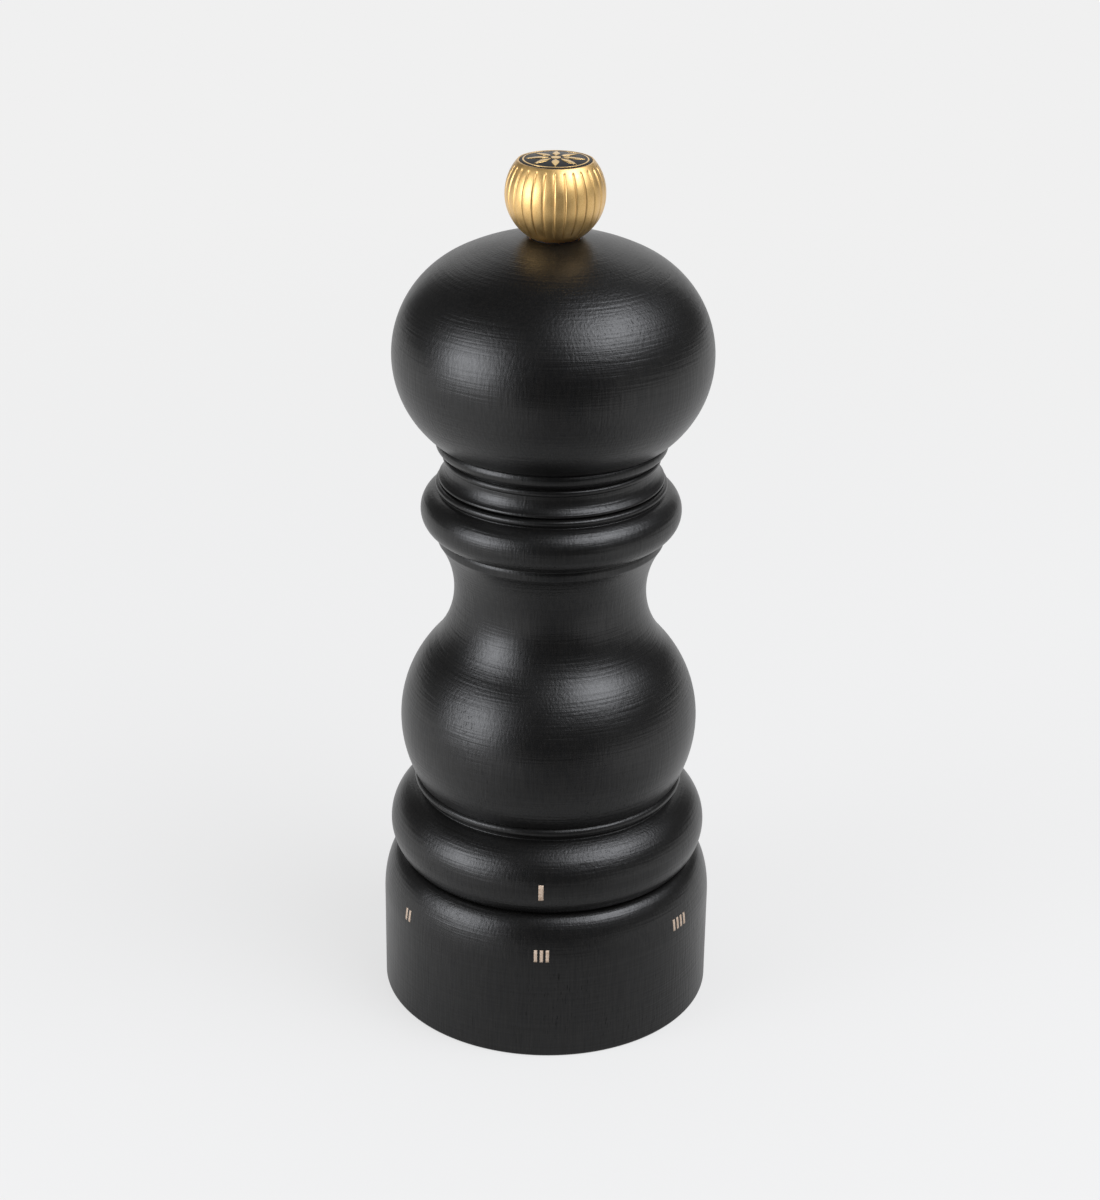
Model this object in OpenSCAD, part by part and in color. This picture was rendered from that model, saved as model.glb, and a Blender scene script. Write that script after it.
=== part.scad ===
// Turned pepper mill with an adjusting base ring, a steel burr pair and a screw-down knob.
// Millimetres, Z up, origin at the centre of the face that the mill stands on.

/* [Base ring] */
// Width of the base ring
base_d = 68.9; // [66:0.1:74]
// Height of the base ring
base_h = 31.5; // [30.5:0.1:36]
// Height at which the wall starts to round into the shoulder
base_wall_h = 21.0; // [15:0.1:25]
// Width of the shoulder's top edge
base_rim_d = 60.0; // [58:0.1:62]
// Softening of the edge that stands on the table
base_edge = 0.6; // [0.3:0.1:1.5]
// Width of the bore that holds the liner
base_bore_d = 54.0; // [53:0.1:56]

/* [Barrel] */
// Height of the barrel
barrel_h = 82.45; // [81:0.05:90]
// Width of the roll at the barrel's foot
foot_roll_d = 65.7; // [64:0.1:68]
// Height of the foot roll's widest line above the barrel's foot
foot_roll_up = 6.2; // [5:0.1:7]
// Rounding radius of the foot roll
foot_roll_r = 9.0; // [8:0.1:10]
// Width of the step between the foot roll and the bulb
foot_step_d = 53.4; // [52:0.1:56]
// Width of the bulb
bulb_d = 61.1; // [58:0.1:66]
// Height of the bulb's widest line above the barrel's foot
bulb_up = 30.2; // [27:0.1:33]
// Width of the neck
neck_d = 39.0; // [37:0.1:41]
// Height of the neck's narrowest line above the barrel's foot
neck_up = 58.9; // [56:0.1:62]
// Width of the step under the collar roll
collar_step_d = 45.6; // [44:0.1:47]
// Height of that step above the barrel's foot
collar_step_up = 69.7; // [68:0.1:70]
// Width of the collar roll
collar_roll_d = 52.3; // [51:0.1:55]
// Height of the collar roll's widest line above the barrel's foot
collar_roll_up = 76.2; // [75.8:0.1:76.6]
// Rounding radius of the collar roll
collar_roll_r = 4.8; // [4.5:0.1:5]
// Width of the pepper chamber
chamber_d = 27.0; // [25:0.1:28]

/* [Head] */
// Width of the rim that sits on the barrel
rim_d = 45.1; // [44:0.1:46]
// Width of the throat above the rim
throat_d = 42.2; // [41:0.1:43]
// Width of the bead under the ball
bead_d = 46.2; // [45:0.1:47]
// Width of the ball
ball_d = 63.2; // [57:0.1:69]
// Height of the ball's widest line above the rim's underside
ball_up = 26.05; // [25:0.05:28]
// Height of the crown above the ball's widest line
crown_up = 23.8; // [21:0.05:26]
// How much tighter than a full circle of that height the ball's upper side turns
crown_flat = 2.5; // [1.5:0.05:4]
// Depth of the tenon that centres the head in the barrel
tenon_h = 9.6; // [7:0.1:12]
// Width of the seat under the knob
seat_d = 10.4; // [10:0.1:14]
// Depth of the seat below the crown
seat_sink = 0.75; // [0.5:0.05:1]

/* [Knob] */
// Width of the knob
knob_d = 19.4; // [18:0.1:22]
// Width of the knob's foot
knob_foot_d = 9.4; // [9:0.1:11]
// Number of grooves round the knob
knob_grooves = 28; // [20:1:32]
// Width of each groove
knob_groove_w = 0.55; // [0.4:0.05:0.7]
// Width of the disc let into the knob's top
cap_d = 13.8; // [12:0.1:14]
// Thickness of that disc
cap_t = 1.4; // [1:0.1:2]
// Width of the flat lip round that disc
knob_lip_w = 0.33; // [0.2:0.01:0.6]
// Thickness of the washer under the knob
washer_t = 0.4; // [0.3:0.05:0.8]

/* [Spindle] */
// Width across the flats of the square spindle
spindle_w = 6.0; // [5:0.1:6.2]
// Width of the threaded end
stud_d = 5.0; // [4:0.1:5]
// Length of the threaded end above the seat
stud_len = 8.0; // [7:0.1:9]
// Width of the round foot
spindle_foot_d = 6.0; // [5.5:0.1:6]

/* [Grinding mechanism] */
// Width of the housing's sleeve
sleeve_d = 42.0; // [41.6:0.1:42.4]
// Length of the sleeve inside the barrel
sleeve_in = 20.0; // [18:0.1:22]
// Width of the housing's flange that carries the base ring
flange_d = 46.8; // [46:0.1:47.2]
// Thickness of that flange
flange_t = 4.0; // [3.8:0.1:4.4]
// Width of the housing's skirt round the burr
skirt_d = 40.4; // [39.5:0.1:41]
// Width of the burr ring
burr_ring_d = 34.0; // [33:0.1:35]
// Height of the burr ring
burr_ring_h = 14.5; // [13:0.1:15]
// Height of the cone burr
cone_h = 14.0; // [13:0.1:15]
// Width of the cone burr's foot
cone_foot_d = 22.6; // [21:0.1:23.5]
// Width of the cone burr's top
cone_top_d = 13.6; // [12.5:0.1:15]
// Gap between the burrs at rest
grind_gap = 0.45; // [0.35:0.05:0.6]
// Number of teeth on the cone burr
cone_teeth = 16; // [10:1:18]
// Number of teeth in the burr ring
ring_teeth = 22; // [14:1:24]
// Slant of the teeth
tooth_slant = 22; // [10:1:30]
// Wall of the liner inside the base ring
liner_wall = 3.2; // [2.8:0.1:3.3]
// Thickness of the liner's lip that hangs on the flange
lip_t = 2.4; // [2:0.1:2.6]
// Thickness of the adjusting bridge
bridge_t = 4.0; // [3.5:0.1:4.5]
// Width of the bridge's arms
arm_w = 4.4; // [3.5:0.1:5]
// Lowest travel of the bridge, for the coarsest grind
travel_down = 0.75; // [0.5:0.05:0.9]
// Highest travel of the bridge, for the finest grind
travel_up = 0.5; // [0.3:0.05:0.6]
// Angle between neighbouring grind settings
click_angle = 55; // [50:1:58]

/* [Clearances] */
// Gap at the seam between the base ring and the barrel
seam_gap = 0.3; // [0.2:0.05:0.5]
// Gap round the tenon in the barrel's mouth
tenon_gap = 0.3; // [0.25:0.05:0.5]
// Radial clearance of a piece that turns or slides in a bore
running = 0.06; // [0.03:0.01:0.1]
// End play of a piece held between two faces
end_play = 0.1; // [0.05:0.01:0.2]
// Free space beside parts that pass each other
free_gap = 0.3; // [0.25:0.05:0.4]

/* [Hidden] */
$fn = 96;

wood = "#2b2b2d";
plastic = "#1c1c1e";
steel = "#b9bcc0";
dark_steel = "#7d8084";
brass = "#d8a94a";
gold = "#d9ab52";
enamel = "#121214";

arc_step = 4;      // degrees between the points of an arc
over = 1;          // how far a cutter runs past the face that it cuts

// Levels of the turned body
barrel_z = base_h + seam_gap;
head_z = barrel_z + barrel_h;
ball_z = head_z + ball_up;
crown_z = ball_z + crown_up;
seat_z = crown_z - seat_sink;
knob_up = chord_up(knob_d / 2, knob_foot_d / 2);
knob_top_up = chord_up(knob_d / 2, cap_d / 2 + running + knob_lip_w);
knob_z = seat_z + washer_t + knob_up;
knob_top_z = knob_z + knob_top_up;

// Small turned details
bead_r = 1.0;           // bead between the foot roll and the bulb
bead_rise = 0.8;        // plain step under that bead
bead_out = 0.1;         // how far its centre lies outside the step
bulb_foot_out = 0.55;   // how far the bulb starts outside the step
bulb_share = 0.57;      // the bulb's part of the two radii that lead from it to the neck
step_h = 1.2;           // plain step under the collar roll
collar_sink = 0.2;      // how far the collar roll's ends sink into their neighbours
lip_bead_r = 0.75;      // bead at the barrel's mouth
lip_in = 0.15;          // how far that bead's centre lies inside the rim
mouth_groove = 0.4;     // groove under that bead
lip_groove_out = 0.3;   // how far the groove's floor lies outside the bead's centre
rim_h = 1.1;            // height of the head's rim
rim_soft = 0.35;        // softening of the rim's lower edge
rim_edge = 0.1;         // softening of the rim's upper edge
throat_up = 4.0;        // height of the throat above the rim's underside
band_r = 0.75;          // narrow bead above the throat
band_up = 0.9;          // height of its centre above the throat
band_in = 0.15;         // how far its centre lies inside the throat
ball_bead_up = 7.95;    // height of the bead under the ball above the rim's underside
ball_foot_up = 9.4;     // height of the ball's foot above the rim's underside
ball_step = 0.4;        // overhang of the ball past the bead under it
bead_round = 1.6;       // rounding of the bead under the ball

// Levels of the mechanism, hung from the base ring's top
liner_up = 1.5;         // height of the liner's foot above the table
spindle_rise = 0.3;     // reach of the spindle's round foot above the highest cone burr
hub_drop = 0.8;         // depth of the bridge's hub below its arms
skirt_below = 0.5;      // reach of the skirt below the lowest bridge
spring_room = 13.0;     // room for the spring between the cone burr and the hub
flange_top = base_h - lip_t - end_play;
flange_z = flange_top - flange_t;
burr_top = flange_z - over;
burr_z = burr_top - burr_ring_h;
bridge_top = burr_z - travel_up - over;
bridge_z = bridge_top - bridge_t;
thrust_t = 0.8;
cone_z = bridge_top + thrust_t;
cone_top = cone_z + cone_h;
skirt_z = bridge_z - travel_down - skirt_below;
slot_top = bridge_top + travel_up + free_gap;
sleeve_top = barrel_z + sleeve_in;
plate_t = 2.5;
hub_z = cone_top + spring_room;
hub_h = 4.0;

// Radii that neighbours share
chamber_r = chamber_d / 2;
sleeve_r = sleeve_d / 2;
sleeve_wall = 2.5;
sleeve_bore_r = sleeve_r - sleeve_wall;
skirt_r = skirt_d / 2;
burr_ring_r = burr_ring_d / 2;
liner_r = base_bore_d / 2;
liner_bore_r = liner_r - liner_wall;
hub_r = 8.0;
bush_wall = 0.7;
bush_r = spindle_w * sqrt(2) / 2 + bush_wall;
bush_bore_r = bush_r + running;
bush_collar = 1.3;
collar_r = bush_r + bush_collar;
collar_t = 1.2;
clip_t = 0.9;
detent_r = 1.5;
detent_play = 0.1;
detent_floor = 1.2;
detent_up = flange_t / 2;
detent_bite = 0.3;
detent_nest = 0.2;      // depth of the ball in its spring's end turn
detent_reach = liner_bore_r + detent_bite;
track_depth = 0.36;
pocket_depth = 0.4;
arms = 3;
arm_start = 90;
screw_count = 3;
screw_r = 1.1;
screw_head_r = 2.0;
screw_head_t = 1.5;
screw_bite = 9;
screw_shift = 0.2;
screw_circle_r = (chamber_r + sleeve_bore_r) / 2 + screw_shift;
drive_r = 10.8;
drive_t = 1.5;
drive_screw_circle_r = 7.8;
drive_screws = 2;
sink_stop = 0.3;        // plain stretch of the plate's screw holes above the countersinks
sink_play = 0.02;       // clearance of the countersunk screws
hair = 0.01;            // overlap that keeps the countersinks' cuts clean
thrust_r = 5.0;
washer_r = 4.6;
stud_root = 1.5;       // depth of the stud's root below the seat
spring_r = 5.3;
spring_wire = 0.5;
detent_coil_r = 1.1;
detent_wire = 0.15;
spring_turns = 6;
ring_tooth = 0.9;       // depth and half width of the burr ring's teeth
cone_tooth = 1.2;       // depth of the cone burr's teeth
cone_tooth_half = 1.1;  // half width of their gullets
hopper_wall = 4.0;
ledge = 3.8;           // ledge that the burr ring butts against
waist_up = 7.5;        // height of the burr ring's narrowest line above its foot
recess_r = 0.6;
ferrule_play = 0.3;     // clearance of the ferrule round the stud
ferrule_h = 1.3;
shaft_gap = 0.4;
shaft_bore_r = spindle_w * sqrt(2) / 2 + shaft_gap;
insert_r = 4.0;
insert_h = 8.6;
cap_dome = 0.5;

// Height above a ball's centre at which a ball of radius r has narrowed to radius q.
function chord_up(r, q) = sqrt(r * r - q * q);

// Points of an arc round [cr, cz], from angle a to angle b.
function arc(cr, cz, r, a, b) =
    let (n = max(2, ceil(abs(b - a) / arc_step)))
    [for (i = [0:n]) let (t = a + (b - a) * i / n) [cr + r * cos(t), cz + r * sin(t)]];

// Radius of an arc that is upright at one end and moves dr sideways over dz.
function upright_r(dr, dz) = (dr * dr + dz * dz) / (2 * dr);

// Swelling from [r0, z0] to its widest line at [r1, z1], where it is upright.
function swell_up(r0, z0, r1, z1) =
    let (q = upright_r(r1 - r0, z1 - z0))
    arc(r1 - q, z1, q, -asin((z1 - z0) / q), 0);

// Hollow from its narrowest line at [r0, z0], where it is upright, to [r1, z1].
function hollow_up(r0, z0, r1, z1) =
    let (q = upright_r(r1 - r0, z1 - z0))
    arc(r0 + q, z0, q, 180, 180 - asin((z1 - z0) / q));

// Hollow from [r0, z0] down-slope to its narrowest line at [r1, z1].
function hollow_in(r0, z0, r1, z1) =
    let (q = upright_r(r0 - r1, z1 - z0))
    arc(r1 + q, z1, q, 180 + asin((z1 - z0) / q), 180);

// Ogee from the widest line [r0, z0] to the narrowest line [r1, z1]: two arcs that share a tangent.
// share is the first arc's part of the two radii.
function ogee(r0, z0, r1, z1, share) =
    let (sum = upright_r(r0 - r1, z1 - z0),
         a = share * sum,
         b = sum - a,
         t = asin((z1 - z0) / sum))
    concat(arc(r0 - a, z0, a, 0, t), arc(r1 + b, z1, b, 180 + t - arc_step, 180));

// Quarter of an ellipse from [r0, z0] up and in to [r1, z1].
function shoulder(r0, z0, r1, z1) =
    [for (t = [0:6:90]) [r1 + (r0 - r1) * cos(t), z0 + (z1 - z0) * sin(t)]];

// Angle at which a roll of radius q round cr reaches radius r.
function roll_angle(cr, q, r) = acos((r - cr) / q);

// Half outline turned round the Z axis, closed down the axis.
module turned(outline, z0, z1) {
    rotate_extrude() polygon(concat([[0, z0]], outline, [[0, z1]]));
}

// Plain upright bore or pin.
module rod(r, z0, z1) {
    translate([0, 0, z0]) cylinder(r = r, h = z1 - z0);
}

// Ring between two radii.
module ring(r_in, r_out, z0, z1) {
    difference() {
        rod(r_out, z0, z1);
        rod(r_in, z0 - over, z1 + over);
    }
}

// Upright square bar.
module square_bar(w, z0, z1) {
    translate([-w / 2, -w / 2, z0]) cube([w, w, z1 - z0]);
}

// Copies round the Z axis.
module round_z(count, start = 0) {
    for (i = [0:count - 1]) rotate([0, 0, start + 360 * i / count]) children();
}

// Coil spring with closed ends, as one tube along a helix.
module coil(r, wire, z0, z1, turns) {
    sides = 8;
    steps = 14;
    n = turns * steps;
    dead = steps;      // steps in each closed end turn
    lift = (z1 - z0 - 6 * wire) / (n - 2 * dead);
    function rise(i) = i < dead ? wire + 2 * wire * i / dead
        : i > n - dead ? z1 - z0 - wire - 2 * wire * (n - i) / dead
        : 3 * wire + (i - dead) * lift;
    function at(i, s) =
        let (a = 360 * i / steps, b = 360 * s / sides, q = r + wire * cos(b))
        [q * cos(a), q * sin(a), z0 + rise(i) + wire * sin(b)];
    points = [for (i = [0:n]) for (s = [0:sides - 1]) at(i, s)];
    walls = [for (i = [0:n - 1]) for (s = [0:sides - 1])
        let (t = (s + 1) % sides)
        [i * sides + s, (i + 1) * sides + s, (i + 1) * sides + t, i * sides + t]];
    first = [[for (s = [0:sides - 1]) s]];
    last = [[for (s = [sides - 1:-1:0]) n * sides + s]];
    polyhedron(points, concat(first, walls, last), convexity = 8);
}

// V-shaped tooth cutter that lies along a burr's cone at radius r, apex at depth.
module tooth_cut(r, z, lean, depth, half, len, outward) {
    tip = outward ? [depth, 0] : [-depth, 0];
    mouth = outward ? -over : over;
    translate([r, 0, z]) rotate([tooth_slant, 0, 0]) rotate([0, lean, 0])
        linear_extrude(height = len, center = true)
            polygon([tip, [mouth, half], [mouth, -half]]);
}

module base_ring() {
    r = base_d / 2;
    outline = concat([[r - base_edge, 0]], arc(r - base_edge, base_edge, base_edge, -90, 0),
                     shoulder(r, base_wall_h, base_rim_d / 2, base_h));
    color(wood) difference() {
        turned(outline, 0, base_h);
        rod(liner_r, -over, base_h + over);
    }
}

module ring_liner() {
    color(plastic) difference() {
        rod(liner_r, liner_up, base_h);
        rod(liner_bore_r, liner_up - over, flange_top + end_play);
        rod(sleeve_r + running, liner_up, base_h + over);
        translate([0, 0, flange_z + detent_up]) detent_track();
    }
}

// Track that the detent ball runs in, with a pocket at each grind setting.
module detent_track() {
    track_r = detent_r + detent_play;
    rotate_extrude() translate([detent_reach + track_depth - track_r, 0]) circle(r = track_r);
    for (i = [-3:2])
        rotate([0, 0, i * click_angle - 90])
            translate([detent_reach + pocket_depth - detent_r, 0, 0]) sphere(r = detent_r + detent_play);
}

module barrel() {
    foot_roll_c = foot_roll_d / 2 - foot_roll_r;
    foot_step_r = foot_step_d / 2;
    roll_end = roll_angle(foot_roll_c, foot_roll_r, foot_step_r);
    bead_z = barrel_z + foot_roll_up + foot_roll_r * sin(roll_end) + bead_rise + bead_r;
    bulb_r = bulb_d / 2;
    bulb_z = barrel_z + bulb_up;
    neck_r = neck_d / 2;
    neck_z = barrel_z + neck_up;
    collar_step_r = collar_step_d / 2;
    collar_step_z = barrel_z + collar_step_up;
    collar_c = collar_roll_d / 2 - collar_roll_r;
    collar_z = barrel_z + collar_roll_up;
    lip_c = rim_d / 2 - lip_in;
    lip_z = head_z - lip_bead_r;
    outline = concat(
        arc(foot_roll_c, barrel_z + foot_roll_up, foot_roll_r, -asin(foot_roll_up / foot_roll_r), roll_end),
        arc(foot_step_r + bead_out, bead_z, bead_r, -84, 72),
        swell_up(foot_step_r + bulb_foot_out, bead_z + bead_r, bulb_r, bulb_z),
        ogee(bulb_r, bulb_z, neck_r, neck_z, bulb_share),
        hollow_up(neck_r, neck_z, collar_step_r, collar_step_z),
        [[collar_step_r, collar_step_z + step_h]],
        arc(collar_c, collar_z, collar_roll_r, -roll_angle(collar_c, collar_roll_r, collar_step_r - collar_sink),
            roll_angle(collar_c, collar_roll_r, lip_c + lip_bead_r + collar_sink)),
        [[lip_c + lip_groove_out, lip_z - lip_bead_r - mouth_groove / 2]],
        arc(lip_c, lip_z, lip_bead_r, -60, 90));
    color(wood) difference() {
        turned(outline, barrel_z, head_z);
        rod(chamber_r, barrel_z - over, head_z + over);
        rod(sleeve_r, barrel_z - over, sleeve_top);
        round_z(screw_count, 30) translate([screw_circle_r, 0, 0])
            rod(screw_r, sleeve_top - over, sleeve_top + screw_bite);
    }
}

module mech_housing() {
    throat_cone_h = 5.0;
    color(plastic) difference() {
        union() {
            rod(sleeve_r, flange_z, sleeve_top);
            rod(flange_d / 2, flange_z, flange_top);
            rod(skirt_r, skirt_z, flange_z + over);
        }
        rod(burr_ring_r, skirt_z - over, burr_top);
        rod(burr_ring_r - ledge, burr_top - over, flange_top);
        translate([0, 0, burr_top + over])
            cylinder(r1 = burr_ring_r - ledge, r2 = sleeve_bore_r, h = throat_cone_h);
        difference() {
            rod(sleeve_bore_r, burr_top + over + throat_cone_h, sleeve_top - plate_t);
            spider();
        }
        rod(chamber_r, sleeve_top - plate_t - over, sleeve_top + over);
        round_z(arms, arm_start) translate([0, -arm_w / 2 - free_gap, skirt_z - over])
            cube([skirt_r + over, arm_w + 2 * free_gap, slot_top - skirt_z + over]);
        round_z(screw_count, 30) translate([screw_circle_r, 0, 0])
            rod(screw_r, sleeve_top - plate_t - over, sleeve_top + over);
        translate([0, 0, flange_z + detent_up]) rotate([0, 0, -90]) rotate([0, 90, 0])
            rod(detent_r + running, burr_ring_r + detent_floor, flange_d / 2 + over);
    }
}

// Three arms that carry the spindle's hub.
module spider() {
    arm_t = 3.0;
    difference() {
        union() {
            rod(hub_r, hub_z, hub_z + hub_h);
            round_z(arms, arm_start) translate([0, -arm_t / 2, hub_z])
                cube([sleeve_r, arm_t, hub_h]);
        }
        rod(bush_bore_r, hub_z - over, hub_z + hub_h + over);
    }
}

module housing_screws() {
    under = sleeve_top - plate_t;
    color(dark_steel) round_z(screw_count, 30) translate([screw_circle_r, 0, 0]) difference() {
        union() {
            rod(screw_head_r, under - screw_head_t, under);
            rod(screw_r, under, sleeve_top + screw_bite);
        }
        rod(recess_r, under - screw_head_t - over, under - screw_head_t / 2);
    }
}

module outer_burr() {
    // The wall opens upwards as a hopper and downwards beside the cone burr
    waist_z = burr_z + waist_up;
    wall = (cone_foot_d - cone_top_d) / 2 / cone_h;
    lean = atan(wall);
    foot_r = cone_foot_d / 2 - wall * (burr_z - cone_z) + grind_gap;
    waist_r = foot_r - wall * (waist_z - burr_z);
    hopper_r = burr_ring_r - hopper_wall;
    color(steel) difference() {
        rod(burr_ring_r, burr_z, burr_top);
        translate([0, 0, burr_z]) rotate_extrude() polygon([
            [0, -over], [foot_r + wall * over, -over], [waist_r, waist_z - burr_z],
            [hopper_r, burr_ring_h + over / 4], [hopper_r, burr_ring_h + over], [0, burr_ring_h + over]]);
        round_z(ring_teeth)
            tooth_cut((foot_r + waist_r) / 2, (burr_z + waist_z) / 2, -lean,
                      ring_tooth, ring_tooth, 2 * waist_up - over, true);
    }
}

module inner_burr() {
    wall = (cone_foot_d - cone_top_d) / 2 / cone_h;
    lean = atan(wall);
    mid_r = (cone_foot_d + cone_top_d) / 4;
    color(steel) difference() {
        translate([0, 0, cone_z]) cylinder(r1 = cone_foot_d / 2, r2 = cone_top_d / 2, h = cone_h);
        square_bar(spindle_w + 2 * running, cone_z - over, cone_top + over);
        round_z(cone_teeth)
            tooth_cut(mid_r, cone_z + cone_h / 2, -lean, cone_tooth, cone_tooth_half, 2 * cone_h, false);
    }
}

module detent_ball() {
    color(steel) rotate([0, 0, -90]) translate([detent_reach - detent_r, 0, flange_z + detent_up])
        sphere(r = detent_r);
}

module detent_spring() {
    color(steel) rotate([0, 0, -90]) translate([0, 0, flange_z + detent_up]) rotate([0, 90, 0])
        coil(detent_coil_r, detent_wire, burr_ring_r + detent_floor + running,
             detent_reach - 2 * detent_r + detent_nest, spring_turns);
}

module adjuster_bridge() {
    ring_in = skirt_r + free_gap;
    ring_out = liner_bore_r - running;
    hub = 5.6;
    color(plastic) difference() {
        union() {
            ring(ring_in, ring_out, bridge_z, bridge_top);
            rod(hub, bridge_z - hub_drop, bridge_top);
            round_z(arms, arm_start) translate([0, -arm_w / 2, bridge_z])
                cube([ring_in + over, arm_w, bridge_t]);
        }
        rod(spindle_foot_d / 2 + running, bridge_z - hub_drop - over, bridge_top + over);
    }
}

module thrust_washer() {
    color(brass) ring(spindle_foot_d / 2 + running, thrust_r, bridge_top, cone_z);
}

module spindle() {
    foot_top = cone_z + travel_up + spindle_rise;
    square_top = seat_z - stud_root;
    color(steel) union() {
        rod(spindle_foot_d / 2, bridge_z - hub_drop, foot_top);
        square_bar(spindle_w, foot_top, square_top);
        rod(stud_d / 2, square_top, seat_z + stud_len);
    }
}

module spindle_bush() {
    top = hub_z + hub_h;
    color(plastic) difference() {
        union() {
            rod(bush_r, hub_z, top + end_play);
            rod(collar_r, top + end_play, top + end_play + collar_t);
        }
        square_bar(spindle_w, hub_z - over, top + collar_t + over);
    }
}

module spindle_clip() {
    top = hub_z - end_play;
    color(dark_steel) difference() {
        rod(collar_r, top - clip_t, top);
        square_bar(spindle_w, top - clip_t - over, top + over);
    }
}

module burr_spring() {
    color(steel) coil(spring_r, spring_wire, cone_top, hub_z - end_play - clip_t, spring_turns);
}

module head() {
    rim_r = rim_d / 2;
    throat_rr = throat_d / 2;
    bead_c = bead_d / 2 - bead_round;
    band_z = head_z + throat_up + band_up;
    bead_zc = head_z + ball_bead_up;
    ball_foot_r = bead_d / 2 + ball_step;
    ball_foot_z = head_z + ball_foot_up;
    side_r = crown_up - crown_flat;
    side_c = ball_d / 2 - side_r;
    crown_r = (side_c * side_c + crown_up * crown_up - side_r * side_r) / (2 * crown_flat);
    tangent = atan2(crown_r - crown_up, side_c);
    crown_end = acos(seat_d / 2 / crown_r);
    outline = concat(
        [[rim_r - 2 * rim_soft, head_z], [rim_r - rim_edge, head_z + rim_soft],
         [rim_r, head_z + rim_h / 2], [rim_r - rim_edge, head_z + rim_h - 2 * rim_edge]],
        hollow_in(rim_r - rim_soft, head_z + rim_h, throat_rr, head_z + throat_up),
        arc(throat_rr - band_in, band_z, band_r, -80, 80),
        arc(bead_c, bead_zc, bead_round, -62, 56),
        swell_up(ball_foot_r, ball_foot_z, ball_d / 2, ball_z),
        arc(side_c, ball_z, side_r, arc_step, tangent),
        arc(0, crown_z - crown_r, crown_r, tangent + 1, crown_end),
        [[seat_d / 2, seat_z]]);
    color(wood) difference() {
        union() {
            turned(outline, head_z, seat_z);
            rod(chamber_r - tenon_gap, head_z - tenon_h, head_z + over);
        }
        rod(shaft_bore_r, head_z - tenon_h - over, seat_z + over);
        rod(drive_r, head_z - tenon_h - over, head_z - tenon_h + drive_t);
        round_z(drive_screws) translate([drive_screw_circle_r, 0, 0])
            rod(screw_r, head_z - tenon_h, head_z - tenon_h + screw_bite);
    }
}

module drive_plate() {
    under = head_z - tenon_h;
    color(steel) difference() {
        rod(drive_r, under, under + drive_t);
        square_bar(spindle_w + 2 * running, under - over, under + drive_t + over);
        round_z(drive_screws) translate([drive_screw_circle_r, 0, under]) {
            translate([0, 0, -hair]) cylinder(r1 = screw_head_r, r2 = screw_r, h = drive_t - sink_stop);
            rod(screw_r, -over, drive_t + over);
        }
    }
}

module plate_screws() {
    under = head_z - tenon_h;
    color(dark_steel) round_z(drive_screws) translate([drive_screw_circle_r, 0, under]) difference() {
        union() {
            cylinder(r1 = screw_head_r - sink_play, r2 = screw_r - sink_play, h = drive_t - sink_stop - hair);
            rod(screw_r - sink_play, drive_t / 3, screw_bite);
        }
        rod(recess_r, -over, screw_head_t / 2);
    }
}

module head_ferrule() {
    color(brass) ring(stud_d / 2 + ferrule_play, shaft_bore_r, seat_z - ferrule_h, seat_z);
}

module knob_washer() {
    color(plastic) ring(stud_d / 2 + running, washer_r, seat_z, seat_z + washer_t);
}

module knob_shell() {
    r = knob_d / 2;
    foot = knob_z - knob_up;
    groove_out = 0.08;     // the grooves' centre sits outside the knob's and below it,
    groove_drop = 0.12;    // so that they are deepest at the top and fade towards the foot
    groove_foot = -48;
    lip = 0.7;             // height of the plain lip above them
    groove_top = asin((knob_top_up - lip) / r);
    color(gold) difference() {
        intersection() {
            translate([0, 0, knob_z]) sphere(r = r);
            rod(r + over, foot, knob_top_z);
        }
        rod(insert_r, foot - over, foot + insert_h);
        rod(cap_d / 2 + running, knob_top_z - cap_t + cap_dome, knob_top_z + over);
        round_z(knob_grooves, 90) translate([groove_out, 0, knob_z - groove_drop]) rotate([90, 0, 0])
            rotate_extrude(angle = groove_top - groove_foot, start = groove_foot)
                translate([r, 0]) circle(r = knob_groove_w / 2, $fn = 4);
    }
}

module knob_insert() {
    foot = knob_z - knob_up;
    color(brass) ring(stud_d / 2 + running, insert_r, foot, foot + insert_h);
}

module cap_disc() {
    r = cap_d / 2;
    low = knob_top_z - cap_t + cap_dome;
    dome_r = upright_r(cap_dome, r);
    edge = acos(r / dome_r);
    outline = concat([[r, low]], arc(0, knob_top_z + cap_dome - dome_r, dome_r, edge, 88));
    color(enamel) turned(outline, low, knob_top_z + cap_dome);
}

barrel();
mech_housing();
housing_screws();
outer_burr();
detent_ball();
detent_spring();
base_ring();
ring_liner();
adjuster_bridge();
thrust_washer();
spindle();
spindle_bush();
spindle_clip();
burr_spring();
inner_burr();
head();
drive_plate();
plate_screws();
head_ferrule();
knob_washer();
knob_shell();
knob_insert();
cap_disc();
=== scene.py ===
"""Studio scene of a turned pepper mill with a gilt screw knob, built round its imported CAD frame.

The wooden pieces are turned from their outlines as on a lathe. Node trees grow the turned bodies, the
knob's flutes, the sunburst in its cap, the tally marks and the springs. The mechanism keeps the shapes of
its CAD solids, smoothed. Sizes in the classes are millimetres, and MM turns them into Blender's metres.
"""
from __future__ import annotations

import logging
import math
from dataclasses import dataclass
from enum import Enum
from functools import partialmethod

import bmesh
import bpy
from mathutils import Matrix, Vector


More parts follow.
